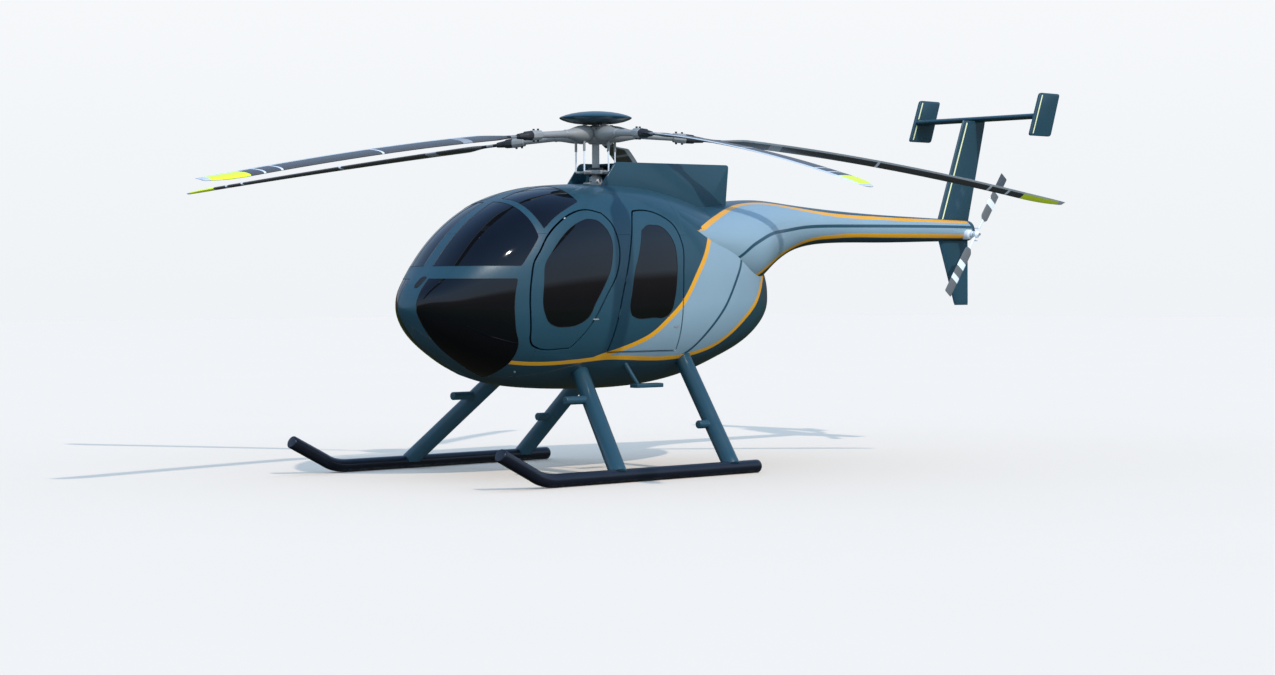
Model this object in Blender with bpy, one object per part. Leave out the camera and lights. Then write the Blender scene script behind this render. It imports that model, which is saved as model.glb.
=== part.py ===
"""Light turbine helicopter on skids, five main blades, parked with its rotor at rest.

Metres, +Z up, nose towards -Y, port side towards +X, floor at z = 0.
Every y in the tables below is a fuselage station, counted from just behind the mast;
BODY_Y puts station 0 in its place, so that the whole machine stands over the origin.
"""
import bmesh
import bpy
from math import cos, pi, radians, sin
from mathutils import Matrix, Vector

# Driving dimensions
BODY_Y = -0.65             # where fuselage station 0 lies
GAP = 0.0003               # between two fixed pieces that meet
CURVED_GAP = 0.0006        # the same, between two curved skins
SEAM = 0.011               # open seam around a door
WALL = 0.028               # fuselage and door wall
GLASS = 0.008              # window pane
PANE_SINK = 0.001          # how far a pane lies below the paint
MAST_STATION = -0.03
MAST_RADIUS = 0.034
HUB_Z = 2.735
ROTOR_RADIUS = 4.0
BLADE_CHORD = 0.17
REST_AZIMUTH = radians(3.2)
TAIL_ROTOR = (0.20, 4.714, 1.97)   # hub centre: x, station, z
TAIL_ROTOR_RADIUS = 0.70
TAIL_BLADE_TILT = radians(52.4)
SKID_X = 1.241
SKID_RADIUS = 0.054
SKID_SIDES = 12
FAIRING_HALF_WIDTH = 0.218
FAIRING_WALL = 0.018
STABILIZER_HALF_SPAN = 0.714
END_PLATE_THICKNESS = 0.024
SILL_Z = 0.963             # top of the belly shell, under the doors
REAR_DOOR_BOTTOM_Z = 0.982 # clear of the sill as the slanted hinge swings it down
HEADER_Z = 1.90            # bottom of the roof shell
AFT_STATION = 0.36         # front of the aft shell
NOSE_STATION = -1.20       # back of the nose frame
BULKHEAD_STATION = 0.42
BULKHEAD_DEPTH = 0.03
FLOOR_Z = 0.80
FLOOR_DEPTH = 0.025
POST_HALF_WIDTH = 0.055    # post between the upper screens
CHIN_HALF_WIDTH = 0.11     # strip between the chin windows
ROOF_HALF_WIDTH = 0.09     # strip between the roof windows

# Fuselage sections: station, top, bottom, half width, height of the widest point
BODY = [
    (-2.05, 1.348, 1.302, 0.049, 1.325),
    (-1.97, 1.494, 1.178, 0.212, 1.340),
    (-1.85, 1.618, 1.053, 0.339, 1.330),
    (-1.65, 1.839, 0.917, 0.464, 1.320),
    (-1.40, 2.043, 0.794, 0.572, 1.310),
    (-1.10, 2.197, 0.716, 0.656, 1.310),
    (-0.80, 2.275, 0.684, 0.696, 1.320),
    (-0.40, 2.314, 0.666, 0.712, 1.330),
    (0.00, 2.322, 0.665, 0.711, 1.340),
    (0.40, 2.293, 0.688, 0.688, 1.360),
    (0.80, 2.210, 0.755, 0.638, 1.380),
    (1.15, 2.089, 0.859, 0.551, 1.380),
    (1.45, 1.929, 0.964, 0.439, 1.380),
    (1.70, 1.759, 1.098, 0.295, 1.380),
    (1.87, 1.580, 1.217, 0.145, 1.390),
    (1.94, 1.440, 1.340, 0.030, 1.390),
]
BODY_UPPER_POWER = 2.6
BODY_LOWER_POWER = 2.065
BODY_POINTS = 36

# Tail boom sections: station, centre height, half height, half width
BOOM = [
    (0.10, 2.040, 0.270, 0.480),
    (0.40, 1.977, 0.294, 0.558),
    (0.75, 1.853, 0.322, 0.588),
    (1.10, 1.824, 0.369, 0.548),
    (1.45, 1.818, 0.397, 0.535),
    (1.80, 1.902, 0.331, 0.387),
    (2.20, 1.988, 0.222, 0.250),
    (2.80, 2.019, 0.149, 0.150),
    (3.50, 2.010, 0.127, 0.123),
    (4.86, 2.008, 0.095, 0.090),
]
BOOM_POINTS = 24

# Side outlines: station and height, clockwise from the top
FRONT_DOOR = [
    (-0.630, 2.088), (-0.816, 2.048), (-0.952, 1.980), (-1.084, 1.880), (-1.180, 1.760),
    (-1.244, 1.674), (-1.280, 1.555), (-1.280, 1.150), (-1.265, 1.080), (-1.212, 1.026),
    (-0.875, 1.015), (-0.797, 1.129), (-0.593, 1.423), (-0.479, 1.590), (-0.426, 1.754),
    (-0.422, 1.887), (-0.443, 1.987), (-0.504, 2.064),
]
FRONT_WINDOW = [
    (-0.654, 2.020), (-0.767, 1.993), (-0.900, 1.926), (-1.084, 1.761), (-1.160, 1.663),
    (-1.183, 1.533), (-1.185, 1.286), (-1.150, 1.220), (-1.074, 1.182), (-0.986, 1.177),
    (-0.869, 1.196), (-0.776, 1.249), (-0.707, 1.358), (-0.617, 1.489), (-0.544, 1.610),
    (-0.503, 1.731), (-0.483, 1.853), (-0.508, 1.941), (-0.565, 2.002),
]
REAR_DOOR = [
    (-0.151, 2.084), (-0.251, 1.889), (-0.340, 1.650), (-0.456, 1.250), (-0.480, 1.110),
    (-0.489, REAR_DOOR_BOTTOM_Z), (0.295, REAR_DOOR_BOTTOM_Z), (0.270, 1.200),
    (0.270, 1.385), (0.285, 1.600), (0.307, 1.850), (0.258, 1.986), (0.159, 2.051),
]
REAR_WINDOW = [
    (-0.043, 1.979), (-0.133, 1.935), (-0.174, 1.834), (-0.223, 1.722), (-0.276, 1.610),
    (-0.317, 1.444), (-0.326, 1.278), (-0.286, 1.250), (-0.061, 1.240), (0.050, 1.241),
    (0.128, 1.285), (0.170, 1.386), (0.205, 1.555), (0.222, 1.713), (0.216, 1.838),
    (0.175, 1.916), (0.113, 1.967), (0.023, 1.982),
]
WINDSCREEN = [
    (-1.960, 2.300), (-1.960, 1.650), (-1.355, 1.650), (-1.165, 1.875), (-1.170, 1.961),
    (-1.190, 2.094), (-1.208, 2.300),
]
CHIN_WINDOW = [
    (-2.200, 1.553), (-2.200, 0.650), (-1.377, 0.650), (-1.356, 0.839), (-1.342, 0.909),
    (-1.351, 1.035), (-1.408, 1.171), (-1.429, 1.317), (-1.422, 1.429), (-1.396, 1.553),
]
ROOF_WINDOW = [
    (-1.138, 2.400), (-1.130, 2.091), (-1.100, 1.938), (-0.982, 2.020), (-0.839, 2.091),
    (-0.666, 2.159), (-0.700, 2.400),
]

# Fuselage regions seen from the side, each one shell
REGIONS = {
    "nose_frame": [(-2.3, HEADER_Z), (-2.3, 0.4), (NOSE_STATION, 0.4), (NOSE_STATION, 1.3),
                   (-0.9, 1.6), (-0.9, HEADER_Z)],
    "roof_shell": [(-2.3, 2.6), (-2.3, HEADER_Z), (AFT_STATION, HEADER_Z), (AFT_STATION, 2.6)],
    "belly_shell": [(NOSE_STATION, SILL_Z), (NOSE_STATION, 0.4), (AFT_STATION, 0.4),
                    (AFT_STATION, SILL_Z)],
    "door_pillar": [(-0.9, HEADER_Z), (-0.9, 1.6), (NOSE_STATION, 1.3), (NOSE_STATION, SILL_Z),
                    (0.1, SILL_Z), (0.1, HEADER_Z)],
    "aft_shell": [(AFT_STATION, 2.6), (AFT_STATION, HEADER_Z), (0.1, HEADER_Z), (0.1, SILL_Z),
                  (AFT_STATION, SILL_Z), (AFT_STATION, 0.4), (2.2, 0.4), (2.2, 2.6)],
}

# Side profiles of the cowl behind the mast and of its hollow, station and height
FAIRING_OUTSIDE = [(-0.19, 2.28), (-0.26, 2.18), (1.28, 1.90), (1.286, 2.209), (1.319, 2.513),
                   (-0.012, 2.500)]
FAIRING_HOLLOW = [(-0.60, 2.00), (1.25, 1.80), (1.262, 2.209), (1.295, 2.490), (0.17, 2.478),
                  (0.17, 2.80), (-0.60, 2.80)]

# Fins: name, lower end, upper end, thickness. An end is the leading edge's station, the
# trailing edge's station and the height
FINS = [
    ("upper_fin", (4.369, 4.832, 2.02), (4.766, 5.104, 3.0452), 0.042),
    ("lower_fin", (4.639, 4.837, 1.307), (4.373, 4.835, 2.00), 0.036),
]
# Section of a fin: share of the half thickness, share of the chord
FIN_SECTION = [(0.0, 0.0), (0.8, 0.06), (1.0, 0.3), (0.15, 1.0), (-0.15, 1.0), (-1.0, 0.3),
               (-0.8, 0.06)]
STABILIZER = [(4.93, 3.069), (4.96, 3.0455), (5.10, 3.0455), (5.21, 3.064), (5.21, 3.074),
              (5.10, 3.0925), (4.96, 3.0925)]
END_PLATE = [(4.868, 2.879), (4.851, 2.900), (4.995, 3.262), (5.022, 3.283), (5.285, 3.283),
             (5.302, 3.262), (5.172, 2.900), (5.145, 2.879)]

# Tail gearbox: inner and outer end, radius, and the bore for the rotor's shaft
GEARBOX_ENDS = (0.04, 0.165)
GEARBOX_RADIUS = 0.046
TAIL_SHAFT_START = 0.128
TAIL_SHAFT_RADIUS = 0.012
TAIL_HUB_RADIUS = 0.042
# Tail blade sections: radius, half chord, half thickness
TAIL_BLADE = [(0.02, 0.016, 0.012), (0.16, 0.018, 0.010), (0.22, 0.052, 0.007),
              (TAIL_ROTOR_RADIUS, 0.052, 0.004)]
# Shape of a tail blade's section: share of the half chord, share of the half thickness
TAIL_BLADE_SHAPE = [(1.0, 0.0), (0.5, 0.9), (-0.3, 1.0), (-1.0, 0.15), (-1.0, -0.15),
                    (-0.3, -1.0), (0.5, -0.9)]

# Side profiles of the cabin pieces, station and height
FRONT_SEAT = [(-0.50, 1.00), (-0.38, 1.71), (-0.47, 1.72), (-0.60, 1.10), (-1.00, 1.125),
              (-1.02, 1.00)]
REAR_BENCH = [(0.405, 0.97), (0.405, 1.67), (0.31, 1.68), (0.24, 1.09), (-0.10, 1.10),
              (-0.10, 0.97)]
CONSOLE = [(-1.14, 0.8253), (-1.14, 0.95), (-1.38, 1.12), (-1.42, 1.42), (-1.52, 1.42),
           (-1.64, 1.34), (-1.64, 1.08), (-1.28, 0.8253)]
FRONT_SEAT_SIDES = (0.05, 0.49)
REAR_BENCH_HALF_WIDTH = 0.50
CONSOLE_HALF_WIDTH = 0.13
# Blocks inside, low and high corner: x, station, height
FRONT_SEAT_BASE = ((0.08, -0.96, 0.8253), (0.34, -0.52, 0.9997))
REAR_BENCH_BASE = ((-0.33, -0.04, 0.8253), (0.33, 0.405, 0.9697))
ENGINE = ((-0.25, 0.4503, 1.15), (0.25, 1.32, 1.72))
CABIN_FRONT = -1.33

# Main blades: drop of the tip below the hub, in turn from the nose towards port
BLADE_DROP = [0.50, 0.575, 0.575, 0.52, 0.42]
DROP_POWER = 1.7
# Blade sections: radius, chord / BLADE_CHORD, thickness, sweep back of the leading edge
BLADE = [
    (0.8293, 0.26, 0.040, 0.0), (1.00, 0.30, 0.036, 0.0), (1.22, 1.0, 0.021, 0.0),
    (1.80, 1.0, 0.020, 0.0), (2.40, 1.0, 0.020, 0.0), (3.00, 1.0, 0.019, 0.0),
    (3.55, 1.0, 0.018, 0.0), (3.78, 0.94, 0.016, 0.010), (3.93, 0.70, 0.012, 0.045),
    (4.00, 0.46, 0.008, 0.080),
]
# Aerofoil, chord fraction and half thickness fraction, leading edge first
AEROFOIL = [(0.0, 0.0), (0.06, 0.62), (0.28, 1.0), (0.62, 0.72), (1.0, 0.12)]
# Turned pieces of the rotor head, radius and height
HUB = [(0.085, HUB_Z - 0.066), (0.105, HUB_Z - 0.045), (0.105, HUB_Z + 0.045),
       (0.085, HUB_Z + 0.066)]
MAST = [(MAST_RADIUS, 2.338), (MAST_RADIUS, HUB_Z)]
CAP_STEM = [(0.035, HUB_Z), (0.035, 2.8057)]
CAP = [(0.035, 2.806), (0.15, 2.816), (0.24, 2.836), (0.285, 2.853), (0.296, 2.862),
       (0.285, 2.872), (0.24, 2.889), (0.15, 2.908), (0.05, 2.917)]
MAST_BEARING = [(0.105, 2.25), (0.105, 2.335), (0.052, 2.345), (0.052, 2.385)]
MAST_BORE = [(MAST_RADIUS + 0.0004, 2.3365), (MAST_RADIUS + 0.0004, 2.50)]
# Rotor arm sections: radius, half width, half height
ARM = [(0.05, 0.062, 0.052), (0.15, 0.075, 0.060), (0.24, 0.064, 0.050), (0.34, 0.036, 0.033),
       (0.745, 0.030, 0.028), (0.750, 0.046, 0.044), (0.829, 0.046, 0.044)]
ARM_POINTS = 10
SWASH_Z = (2.405, 2.437)
SWASH_RADIUS = 0.100
ROD_RADIUS = 0.008
# Control rods, lower and upper end: radius, distance ahead of the arm, height
ROD_FOOT = (0.085, 0.018, SWASH_Z[1] - 0.01)
ROD_HEAD = (0.165, 0.045, HUB_Z - 0.03)

# Struts, port side: name, inner end, outer end, foot peg's tip as station and height
STRUTS = [
    ("front_strut", (0.40, -0.62, 0.86), (1.241, -0.985, 0.060), (-1.008, 0.608)),
    ("rear_strut", (0.44, 0.49, 0.96), (1.241, 0.265, 0.060), (0.180, 0.388)),
]
STRUT_RADIUS = 0.068
PEG_RADIUS = 0.032
STRUT_REACH = 0.03         # how far a strut goes beyond the middle of its skid tube
# Cabin step, port side: low and high corner, and its bracket's ends
STEP_TREAD = ((0.565, -0.205, 0.682), (0.655, 0.090, 0.715))
STEP_BRACKET = ((0.50, -0.235, 0.93), (0.60, -0.145, 0.70))
STEP_BRACKET_RADIUS = 0.017
# Skid tube centre line: station and height above the tube's own centre height
SKID_LINE = [(0.562, 0.0), (-1.66, 0.0), (-1.765, 0.012), (-1.85, 0.048), (-2.193, 0.215)]


def clear_scene():
    for obj in list(bpy.data.objects):
        bpy.data.objects.remove(obj, do_unlink=True)


def paint(name, colour, roughness, metallic):
    """A Principled material with the piece's own colour and gloss."""
    material = bpy.data.materials.new(name)
    material.use_nodes = True
    shader = material.node_tree.nodes["Principled BSDF"]
    shader.inputs["Base Color"].default_value = (*colour, 1.0)
    shader.inputs["Roughness"].default_value = roughness
    shader.inputs["Metallic"].default_value = metallic
    return material


def solid(name, points, faces):
    """An object from points and faces, at the origin."""
    mesh = bpy.data.meshes.new(name)
    mesh.from_pydata([tuple(point) for point in points], [], faces)
    tidy(mesh, face_out=True)
    obj = bpy.data.objects.new(name, mesh)
    bpy.context.scene.collection.objects.link(obj)
    return obj


def tidy(mesh, face_out=False):
    """Merge what coincides and drop slivers; a plain closed solid's faces turn outwards."""
    bm = bmesh.new()
    bm.from_mesh(mesh)
    bmesh.ops.remove_doubles(bm, verts=bm.verts, dist=2e-6)
    bmesh.ops.dissolve_degenerate(bm, edges=bm.edges, dist=2e-6)
    if face_out:
        bmesh.ops.recalc_face_normals(bm, faces=bm.faces)
    bm.to_mesh(mesh)
    bm.free()


def combine(target, tool, operation):
    """Cut, join or intersect with an exact Boolean, and use the tool up."""
    modifier = target.modifiers.new(operation.lower(), "BOOLEAN")
    modifier.operation = operation
    modifier.solver = "EXACT"
    modifier.object = tool
    bpy.context.view_layer.update()
    shape = target.evaluated_get(bpy.context.evaluated_depsgraph_get())
    mesh = bpy.data.meshes.new_from_object(shape)
    target.modifiers.clear()
    target.data = mesh
    bpy.data.objects.remove(tool, do_unlink=True)
    tidy(target.data)
    return target


def cut(target, *tools):
    for tool in tools:
        combine(target, tool, "DIFFERENCE")
    return target


def join(target, *tools):
    for tool in tools:
        combine(target, tool, "UNION")
    return target


def keep(target, *tools):
    for tool in tools:
        combine(target, tool, "INTERSECT")
    return target


def loft(name, rings):
    """A closed solid through rings that have the same number of points."""
    count = len(rings[0])
    points = [point for ring in rings for point in ring]
    faces = []
    for row in range(len(rings) - 1):
        for i in range(count):
            j = (i + 1) % count
            faces.append((row * count + i, row * count + j,
                          (row + 1) * count + j, (row + 1) * count + i))
    faces.append(tuple(range(count)))
    faces.append(tuple(range((len(rings) - 1) * count, len(rings) * count)))
    return solid(name, points, faces)


def side_prism(name, outline, x_from=-1.2, x_to=1.2):
    """An outline of stations and heights, extruded across the machine."""
    rings = [[(x, BODY_Y + station, z) for station, z in outline] for x in (x_from, x_to)]
    return loft(name, rings)


def box(name, low, high):
    """A block between two corners, whose y is a station."""
    outline = [(low[1], low[2]), (high[1], low[2]), (high[1], high[2]), (low[1], high[2])]
    return side_prism(name, outline, low[0], high[0])


def turned(name, profile, sides=24, centre=(0.0, 0.0)):
    """A profile of radius and height, turned about an upright axis."""
    rings = []
    for radius, z in profile:
        rings.append([(centre[0] + radius * cos(2 * pi * i / sides),
                       centre[1] + radius * sin(2 * pi * i / sides), z) for i in range(sides)])
    return loft(name, rings)


def swept(name, path, radii, sides=12, turn=0.0):
    """A tube along points, each ring square to the path."""
    path = [Vector(point) for point in path]
    rings = []
    for i, point in enumerate(path):
        before = path[max(i - 1, 0)]
        after = path[min(i + 1, len(path) - 1)]
        along = (after - before).normalized()
        across = along.cross(Vector((0, 0, 1)))
        if across.length < 0.01:
            across = along.cross(Vector((0, 1, 0)))
        across.normalize()
        upward = across.cross(along)
        angles = [turn + 2 * pi * k / sides for k in range(sides)]
        rings.append([point + radii[i] * (cos(a) * across + sin(a) * upward) for a in angles])
    return loft(name, rings)


def inset(outline, distance):
    """An outline moved inwards by a distance, or outwards by a negative one."""
    area = sum(a[0] * b[1] - b[0] * a[1] for a, b in zip(outline, outline[1:] + outline[:1]))
    side = 1.0 if area > 0 else -1.0
    moved = []
    for i, point in enumerate(outline):
        here = Vector(point)
        back = (here - Vector(outline[i - 1])).normalized()
        ahead = (Vector(outline[(i + 1) % len(outline)]) - here).normalized()
        inward = Vector((-back.y - ahead.y, back.x + ahead.x)).normalized() * side
        share = max(inward.dot(Vector((-ahead.y, ahead.x)) * side), 0.5)
        moved.append(tuple(here + inward * (distance / share)))
    return moved


def grown(obj, distance):
    """Move every point of a round solid along its normal, with the same split of its quads."""
    bm = bmesh.new()
    bm.from_mesh(obj.data)
    quads = [face for face in bm.faces if len(face.verts) == 4]
    bmesh.ops.triangulate(bm, faces=quads, quad_method="FIXED")
    bm.normal_update()
    for vert in bm.verts:
        vert.co += vert.normal * distance
    bm.to_mesh(obj.data)
    bm.free()
    return obj


def mirrored(source, name):
    """The same piece on the starboard side."""
    mesh = source.data.copy()
    mesh.name = name
    mesh.transform(Matrix.Scale(-1, 4, (1, 0, 0)))
    mesh.flip_normals()
    obj = bpy.data.objects.new(name, mesh)
    bpy.context.scene.collection.objects.link(obj)
    return obj


def finish(obj, name, material, smooth_angle=35):
    """Name a piece, give it its material and shade it smooth."""
    obj.name = name
    obj.data.name = name
    obj.data.materials.clear()
    obj.data.materials.append(material)
    obj.data.shade_smooth()
    obj.data.set_sharp_from_angle(angle=radians(smooth_angle))
    return obj


def set_origin(obj, point):
    """Put a moving piece's origin on its joint's axis."""
    obj.data.transform(Matrix.Translation(-Vector(point)))
    obj.location = point


def pair(source, name, material):
    """A piece to port and its mirror image to starboard."""
    right = mirrored(source, name + "_right")
    return [finish(source, name + "_left", material), finish(right, name + "_right", material)]


def signed_power(value, power):
    return (1 if value >= 0 else -1) * abs(value) ** power


def hull(distance=0.0):
    """The fuselage's outer form, grown by a distance."""
    rings = []
    for station, top, bottom, half_width, widest in BODY:
        ring = []
        for i in range(BODY_POINTS):
            angle = 2 * pi * i / BODY_POINTS
            upper = sin(angle) >= 0
            power = 2 / (BODY_UPPER_POWER if upper else BODY_LOWER_POWER)
            reach = (top - widest) if upper else (widest - bottom)
            ring.append((half_width * signed_power(cos(angle), power), BODY_Y + station,
                         widest + reach * signed_power(sin(angle), power)))
        rings.append(ring)
    return grown(loft("hull", rings), distance)


def boom_form(distance=0.0):
    """The tail boom's outer form, from inside the fuselage to its end."""
    rings = []
    for station, centre, half_height, half_width in BOOM:
        angles = [2 * pi * i / BOOM_POINTS for i in range(BOOM_POINTS)]
        rings.append([(half_width * cos(a), BODY_Y + station, centre + half_height * sin(a))
                      for a in angles])
    return grown(loft("boom_form", rings), distance)


def skin(outer, inner):
    """The shell between two offsets of the fuselage's form."""
    return cut(hull(outer), hull(inner))


def rear_doorway():
    """The rear doorway's outline: a seam wide of the door, and open down to the sill."""
    return [(station, SILL_Z - SEAM if z < REAR_DOOR_BOTTOM_Z else z)
            for station, z in inset(REAR_DOOR, -SEAM)]


def fuselage(materials):
    """The shells, with the doorways and the windows cut."""
    half_gap = GAP / 2
    for name, outline in REGIONS.items():
        shell = keep(skin(0.0, -WALL), side_prism("region", inset(outline, half_gap)))
        if name != "belly_shell":
            cut(shell, side_prism("doorway", inset(FRONT_DOOR, -SEAM)))
            cut(shell, side_prism("doorway", rear_doorway()))
        if name in ("nose_frame", "roof_shell"):
            for side in (1, -1):
                cut(shell, side_prism("screen", WINDSCREEN, side * POST_HALF_WIDTH, side * 1.2),
                    side_prism("chin", CHIN_WINDOW, side * CHIN_HALF_WIDTH, side * 1.2),
                    side_prism("roof", ROOF_WINDOW, side * ROOF_HALF_WIDTH, side * 1.2))
        if name == "door_pillar":
            keep(shell, box("port", (0.1, -2.0, 0.5), (1.2, 1.0, 2.5)))
            pair(shell, name, materials["paint"])
        else:
            finish(shell, name, materials["paint"])


def window(name, outline, x_from, materials):
    """A pane in the port side and its mirror image."""
    pane = keep(skin(-PANE_SINK, -PANE_SINK - GLASS),
                side_prism("pane", inset(outline, GAP), x_from + GAP, 1.2))
    return pair(pane, name, materials["glass"])


def door(name, outline, glass_outline, materials):
    panel = keep(skin(0.0, -WALL), side_prism("door", outline, 0.1, 1.2))
    cut(panel, side_prism("opening", glass_outline, 0.1, 1.2))
    centres = [Vector((x, BODY_Y + station, z)) for x, station, z in HINGES[name]]
    half = (centres[1] - centres[0]).normalized() * KNUCKLE_LENGTH / 2
    for centre in centres:
        join(panel, swept("knuckle", [centre - half, centre + half], [KNUCKLE_RADIUS] * 2, 10))
    return pair(panel, name, materials["paint"])


# Door hinges, port side: the centres of the lower and the upper knuckle (x, station, z).
# The line through them, on the door's front edge, is the axis that the door turns about.
HINGES = {
    "front_door": ((0.6005, -1.280, 1.27), (0.598, -1.280, 1.47)),
    "rear_door": ((0.706, -0.4473, 1.28), (0.7034, -0.369, 1.55)),
}
KNUCKLE_RADIUS = SEAM - GAP
KNUCKLE_LENGTH = 0.06


def doors(materials):
    """Four doors with their windows, turning at their front edges."""
    for place, outline, glass_outline in (("front", FRONT_DOOR, FRONT_WINDOW),
                                          ("rear", REAR_DOOR, REAR_WINDOW)):
        panels = door(place + "_door", outline, glass_outline, materials)
        panes = window(place + "_door_window", glass_outline, 0.1, materials)
        x, station, z = HINGES[place + "_door"][0]
        for side, panel, pane in zip((1, -1), panels, panes):
            point = (side * x, BODY_Y + station, z)
            set_origin(panel, point)
            pane.parent = panel
            pane.matrix_parent_inverse = Matrix.Translation(-Vector(point))


def cabin(materials):
    """Floor, bulkhead, engine, seats and instrument console."""
    lining = hull(-WALL - CURVED_GAP)
    slab = box("slab", (-1, CABIN_FRONT, FLOOR_Z), (1, BULKHEAD_STATION - GAP,
                                                    FLOOR_Z + FLOOR_DEPTH))
    finish(keep(lining, slab), "cabin_floor", materials["trim"])
    lining = hull(-WALL - CURVED_GAP)
    plate = box("plate", (-1, BULKHEAD_STATION, 0.5),
                (1, BULKHEAD_STATION + BULKHEAD_DEPTH, 2.6))
    finish(keep(lining, plate), "rear_bulkhead", materials["trim"])
    finish(box("engine", *ENGINE), "engine", materials["metal"])
    pair(box("base", *FRONT_SEAT_BASE), "front_seat_base", materials["trim"])
    pair(side_prism("seat", FRONT_SEAT, *FRONT_SEAT_SIDES), "front_seat", materials["cloth"])
    finish(box("bench_base", *REAR_BENCH_BASE), "rear_bench_base", materials["trim"])
    bench = side_prism("bench", REAR_BENCH, -REAR_BENCH_HALF_WIDTH, REAR_BENCH_HALF_WIDTH)
    finish(bench, "rear_bench", materials["cloth"])
    console = side_prism("console", CONSOLE, -CONSOLE_HALF_WIDTH, CONSOLE_HALF_WIDTH)
    finish(console, "instrument_console", materials["trim"])


def rotor_fairing(materials):
    """The tall cowl behind the mast: two walls and a roof, open to the front."""
    half = FAIRING_HALF_WIDTH
    cowl = side_prism("cowl", FAIRING_OUTSIDE, -half, half)
    cut(cowl, side_prism("hollow", FAIRING_HOLLOW, FAIRING_WALL - half, half - FAIRING_WALL),
        hull(CURVED_GAP), boom_form(CURVED_GAP))
    return finish(cowl, "rotor_fairing", materials["paint"])


def tail(materials):
    """Boom, fins, stabilizer with its end plates, and the tail gearbox."""
    boom = cut(boom_form(), hull(CURVED_GAP))
    finish(boom, "tail_boom", materials["paint"])
    for name, low, high, thickness in FINS:
        rings = []
        for lead, trail, z in (low, high):
            rings.append([(side * thickness / 2, BODY_Y + lead + share * (trail - lead), z)
                          for side, share in FIN_SECTION])
        finish(cut(loft(name, rings), boom_form(CURVED_GAP)), name, materials["paint"])
    span = STABILIZER_HALF_SPAN
    bar = side_prism("bar", STABILIZER, -span, span)
    for side in (1, -1):
        join(bar, side_prism("plate", END_PLATE, side * (span - END_PLATE_THICKNESS / 2),
                             side * (span + END_PLATE_THICKNESS / 2)))
    finish(bar, "stabilizer", materials["paint"])
    x, station, z = TAIL_ROTOR
    inner, outer = GEARBOX_ENDS
    case = x_cylinder("case", (inner, station, z), (outer, station, z), GEARBOX_RADIUS, 20)
    bore = x_cylinder("bore", (TAIL_SHAFT_START, station, z), (x + 0.1, station, z),
                      TAIL_SHAFT_RADIUS + 0.0004, 20)
    finish(cut(case, boom_form(CURVED_GAP), bore), "tail_gearbox", materials["metal"])


def x_cylinder(name, low, high, radius, sides):
    """A cylinder across the machine; its ends' y is a station."""
    rings = []
    for x, station, z in (low, high):
        rings.append([(x, BODY_Y + station + radius * cos(2 * pi * i / sides),
                       z + radius * sin(2 * pi * i / sides)) for i in range(sides)])
    return loft(name, rings)


def tail_rotor(materials):
    """Hub and two blades in one piece, on a shaft that enters the gearbox."""
    x, station, z = TAIL_ROTOR
    rotor = x_cylinder("rotor", (TAIL_SHAFT_START + 0.002, station, z), (x, station, z),
                       TAIL_SHAFT_RADIUS, 20)
    join(rotor, x_cylinder("hub", (x - 0.022, station, z), (x + 0.030, station, z),
                           TAIL_HUB_RADIUS, 16))
    centre = Vector((x, BODY_Y + station, z))
    for turn in (TAIL_BLADE_TILT, TAIL_BLADE_TILT + pi):
        out = Vector((0, cos(turn), sin(turn)))
        edge = Vector((0, -sin(turn), cos(turn)))
        rings = []
        for radius, chord, thick in TAIL_BLADE:
            middle = centre + out * radius
            rings.append([middle + edge * (a * chord) + Vector((b * thick, 0, 0))
                          for a, b in TAIL_BLADE_SHAPE])
        join(rotor, loft("blade", rings))
    finish(rotor, "tail_rotor", materials["metal"])
    set_origin(rotor, centre)


def blade_axes(index):
    """Outward and leading directions of a main blade."""
    angle = REST_AZIMUTH + 2 * pi * index / len(BLADE_DROP)
    out = Vector((sin(angle), -cos(angle), 0))
    return out, Vector((0, 0, 1)).cross(out)


def drop(index, radius):
    return BLADE_DROP[index] * (radius / ROTOR_RADIUS) ** DROP_POWER


def main_rotor(materials):
    """Mast, hub, arms and control rods; then the cap and the five blades."""
    centre = Vector((0, BODY_Y + MAST_STATION, 0))
    spot = (centre.x, centre.y)
    head = turned("head", MAST, 32, spot)
    join(head, turned("hub", HUB, 20, spot))
    join(head, turned("stem", CAP_STEM, 16, spot))
    join(head, turned("swash", [(SWASH_RADIUS, SWASH_Z[0]), (SWASH_RADIUS, SWASH_Z[1])], 24, spot))
    for index in range(len(BLADE_DROP)):
        out, lead = blade_axes(index)
        rings = []
        for radius, half_width, half_height in ARM:
            middle = centre + out * radius + Vector((0, 0, HUB_Z - drop(index, radius)))
            rings.append([middle + lead * (half_width * cos(2 * pi * k / ARM_POINTS))
                          + Vector((0, 0, half_height * sin(2 * pi * k / ARM_POINTS)))
                          for k in range(ARM_POINTS)])
        join(head, loft("arm", rings))
        ends = [centre + out * radius + lead * ahead + Vector((0, 0, z))
                for radius, ahead, z in (ROD_FOOT, ROD_HEAD)]
        join(head, swept("rod", ends, [ROD_RADIUS, ROD_RADIUS], 8))
    finish(head, "rotor_head", materials["metal"])
    set_origin(head, centre)
    cap = turned("cap", CAP, 32, spot)
    finish(cap, "rotor_cap", materials["paint"], 50)
    set_origin(cap, centre)
    for index in range(len(BLADE_DROP)):
        out, lead = blade_axes(index)
        outline = AEROFOIL + [(a, -b) for a, b in reversed(AEROFOIL[1:])]
        rings = []
        for radius, chord_share, thick, sweep in BLADE:
            chord = chord_share * BLADE_CHORD
            nose = min(0.30 * BLADE_CHORD, 0.5 * chord) - sweep
            middle = centre + out * radius + Vector((0, 0, HUB_Z - drop(index, radius)))
            rings.append([middle + lead * (nose - a * chord) + Vector((0, 0, b * thick / 2))
                          for a, b in outline])
        name = "main_blade_%d" % (index + 1)
        blade = finish(loft(name, rings), name, materials["blade"])
        set_origin(blade, centre)


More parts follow.
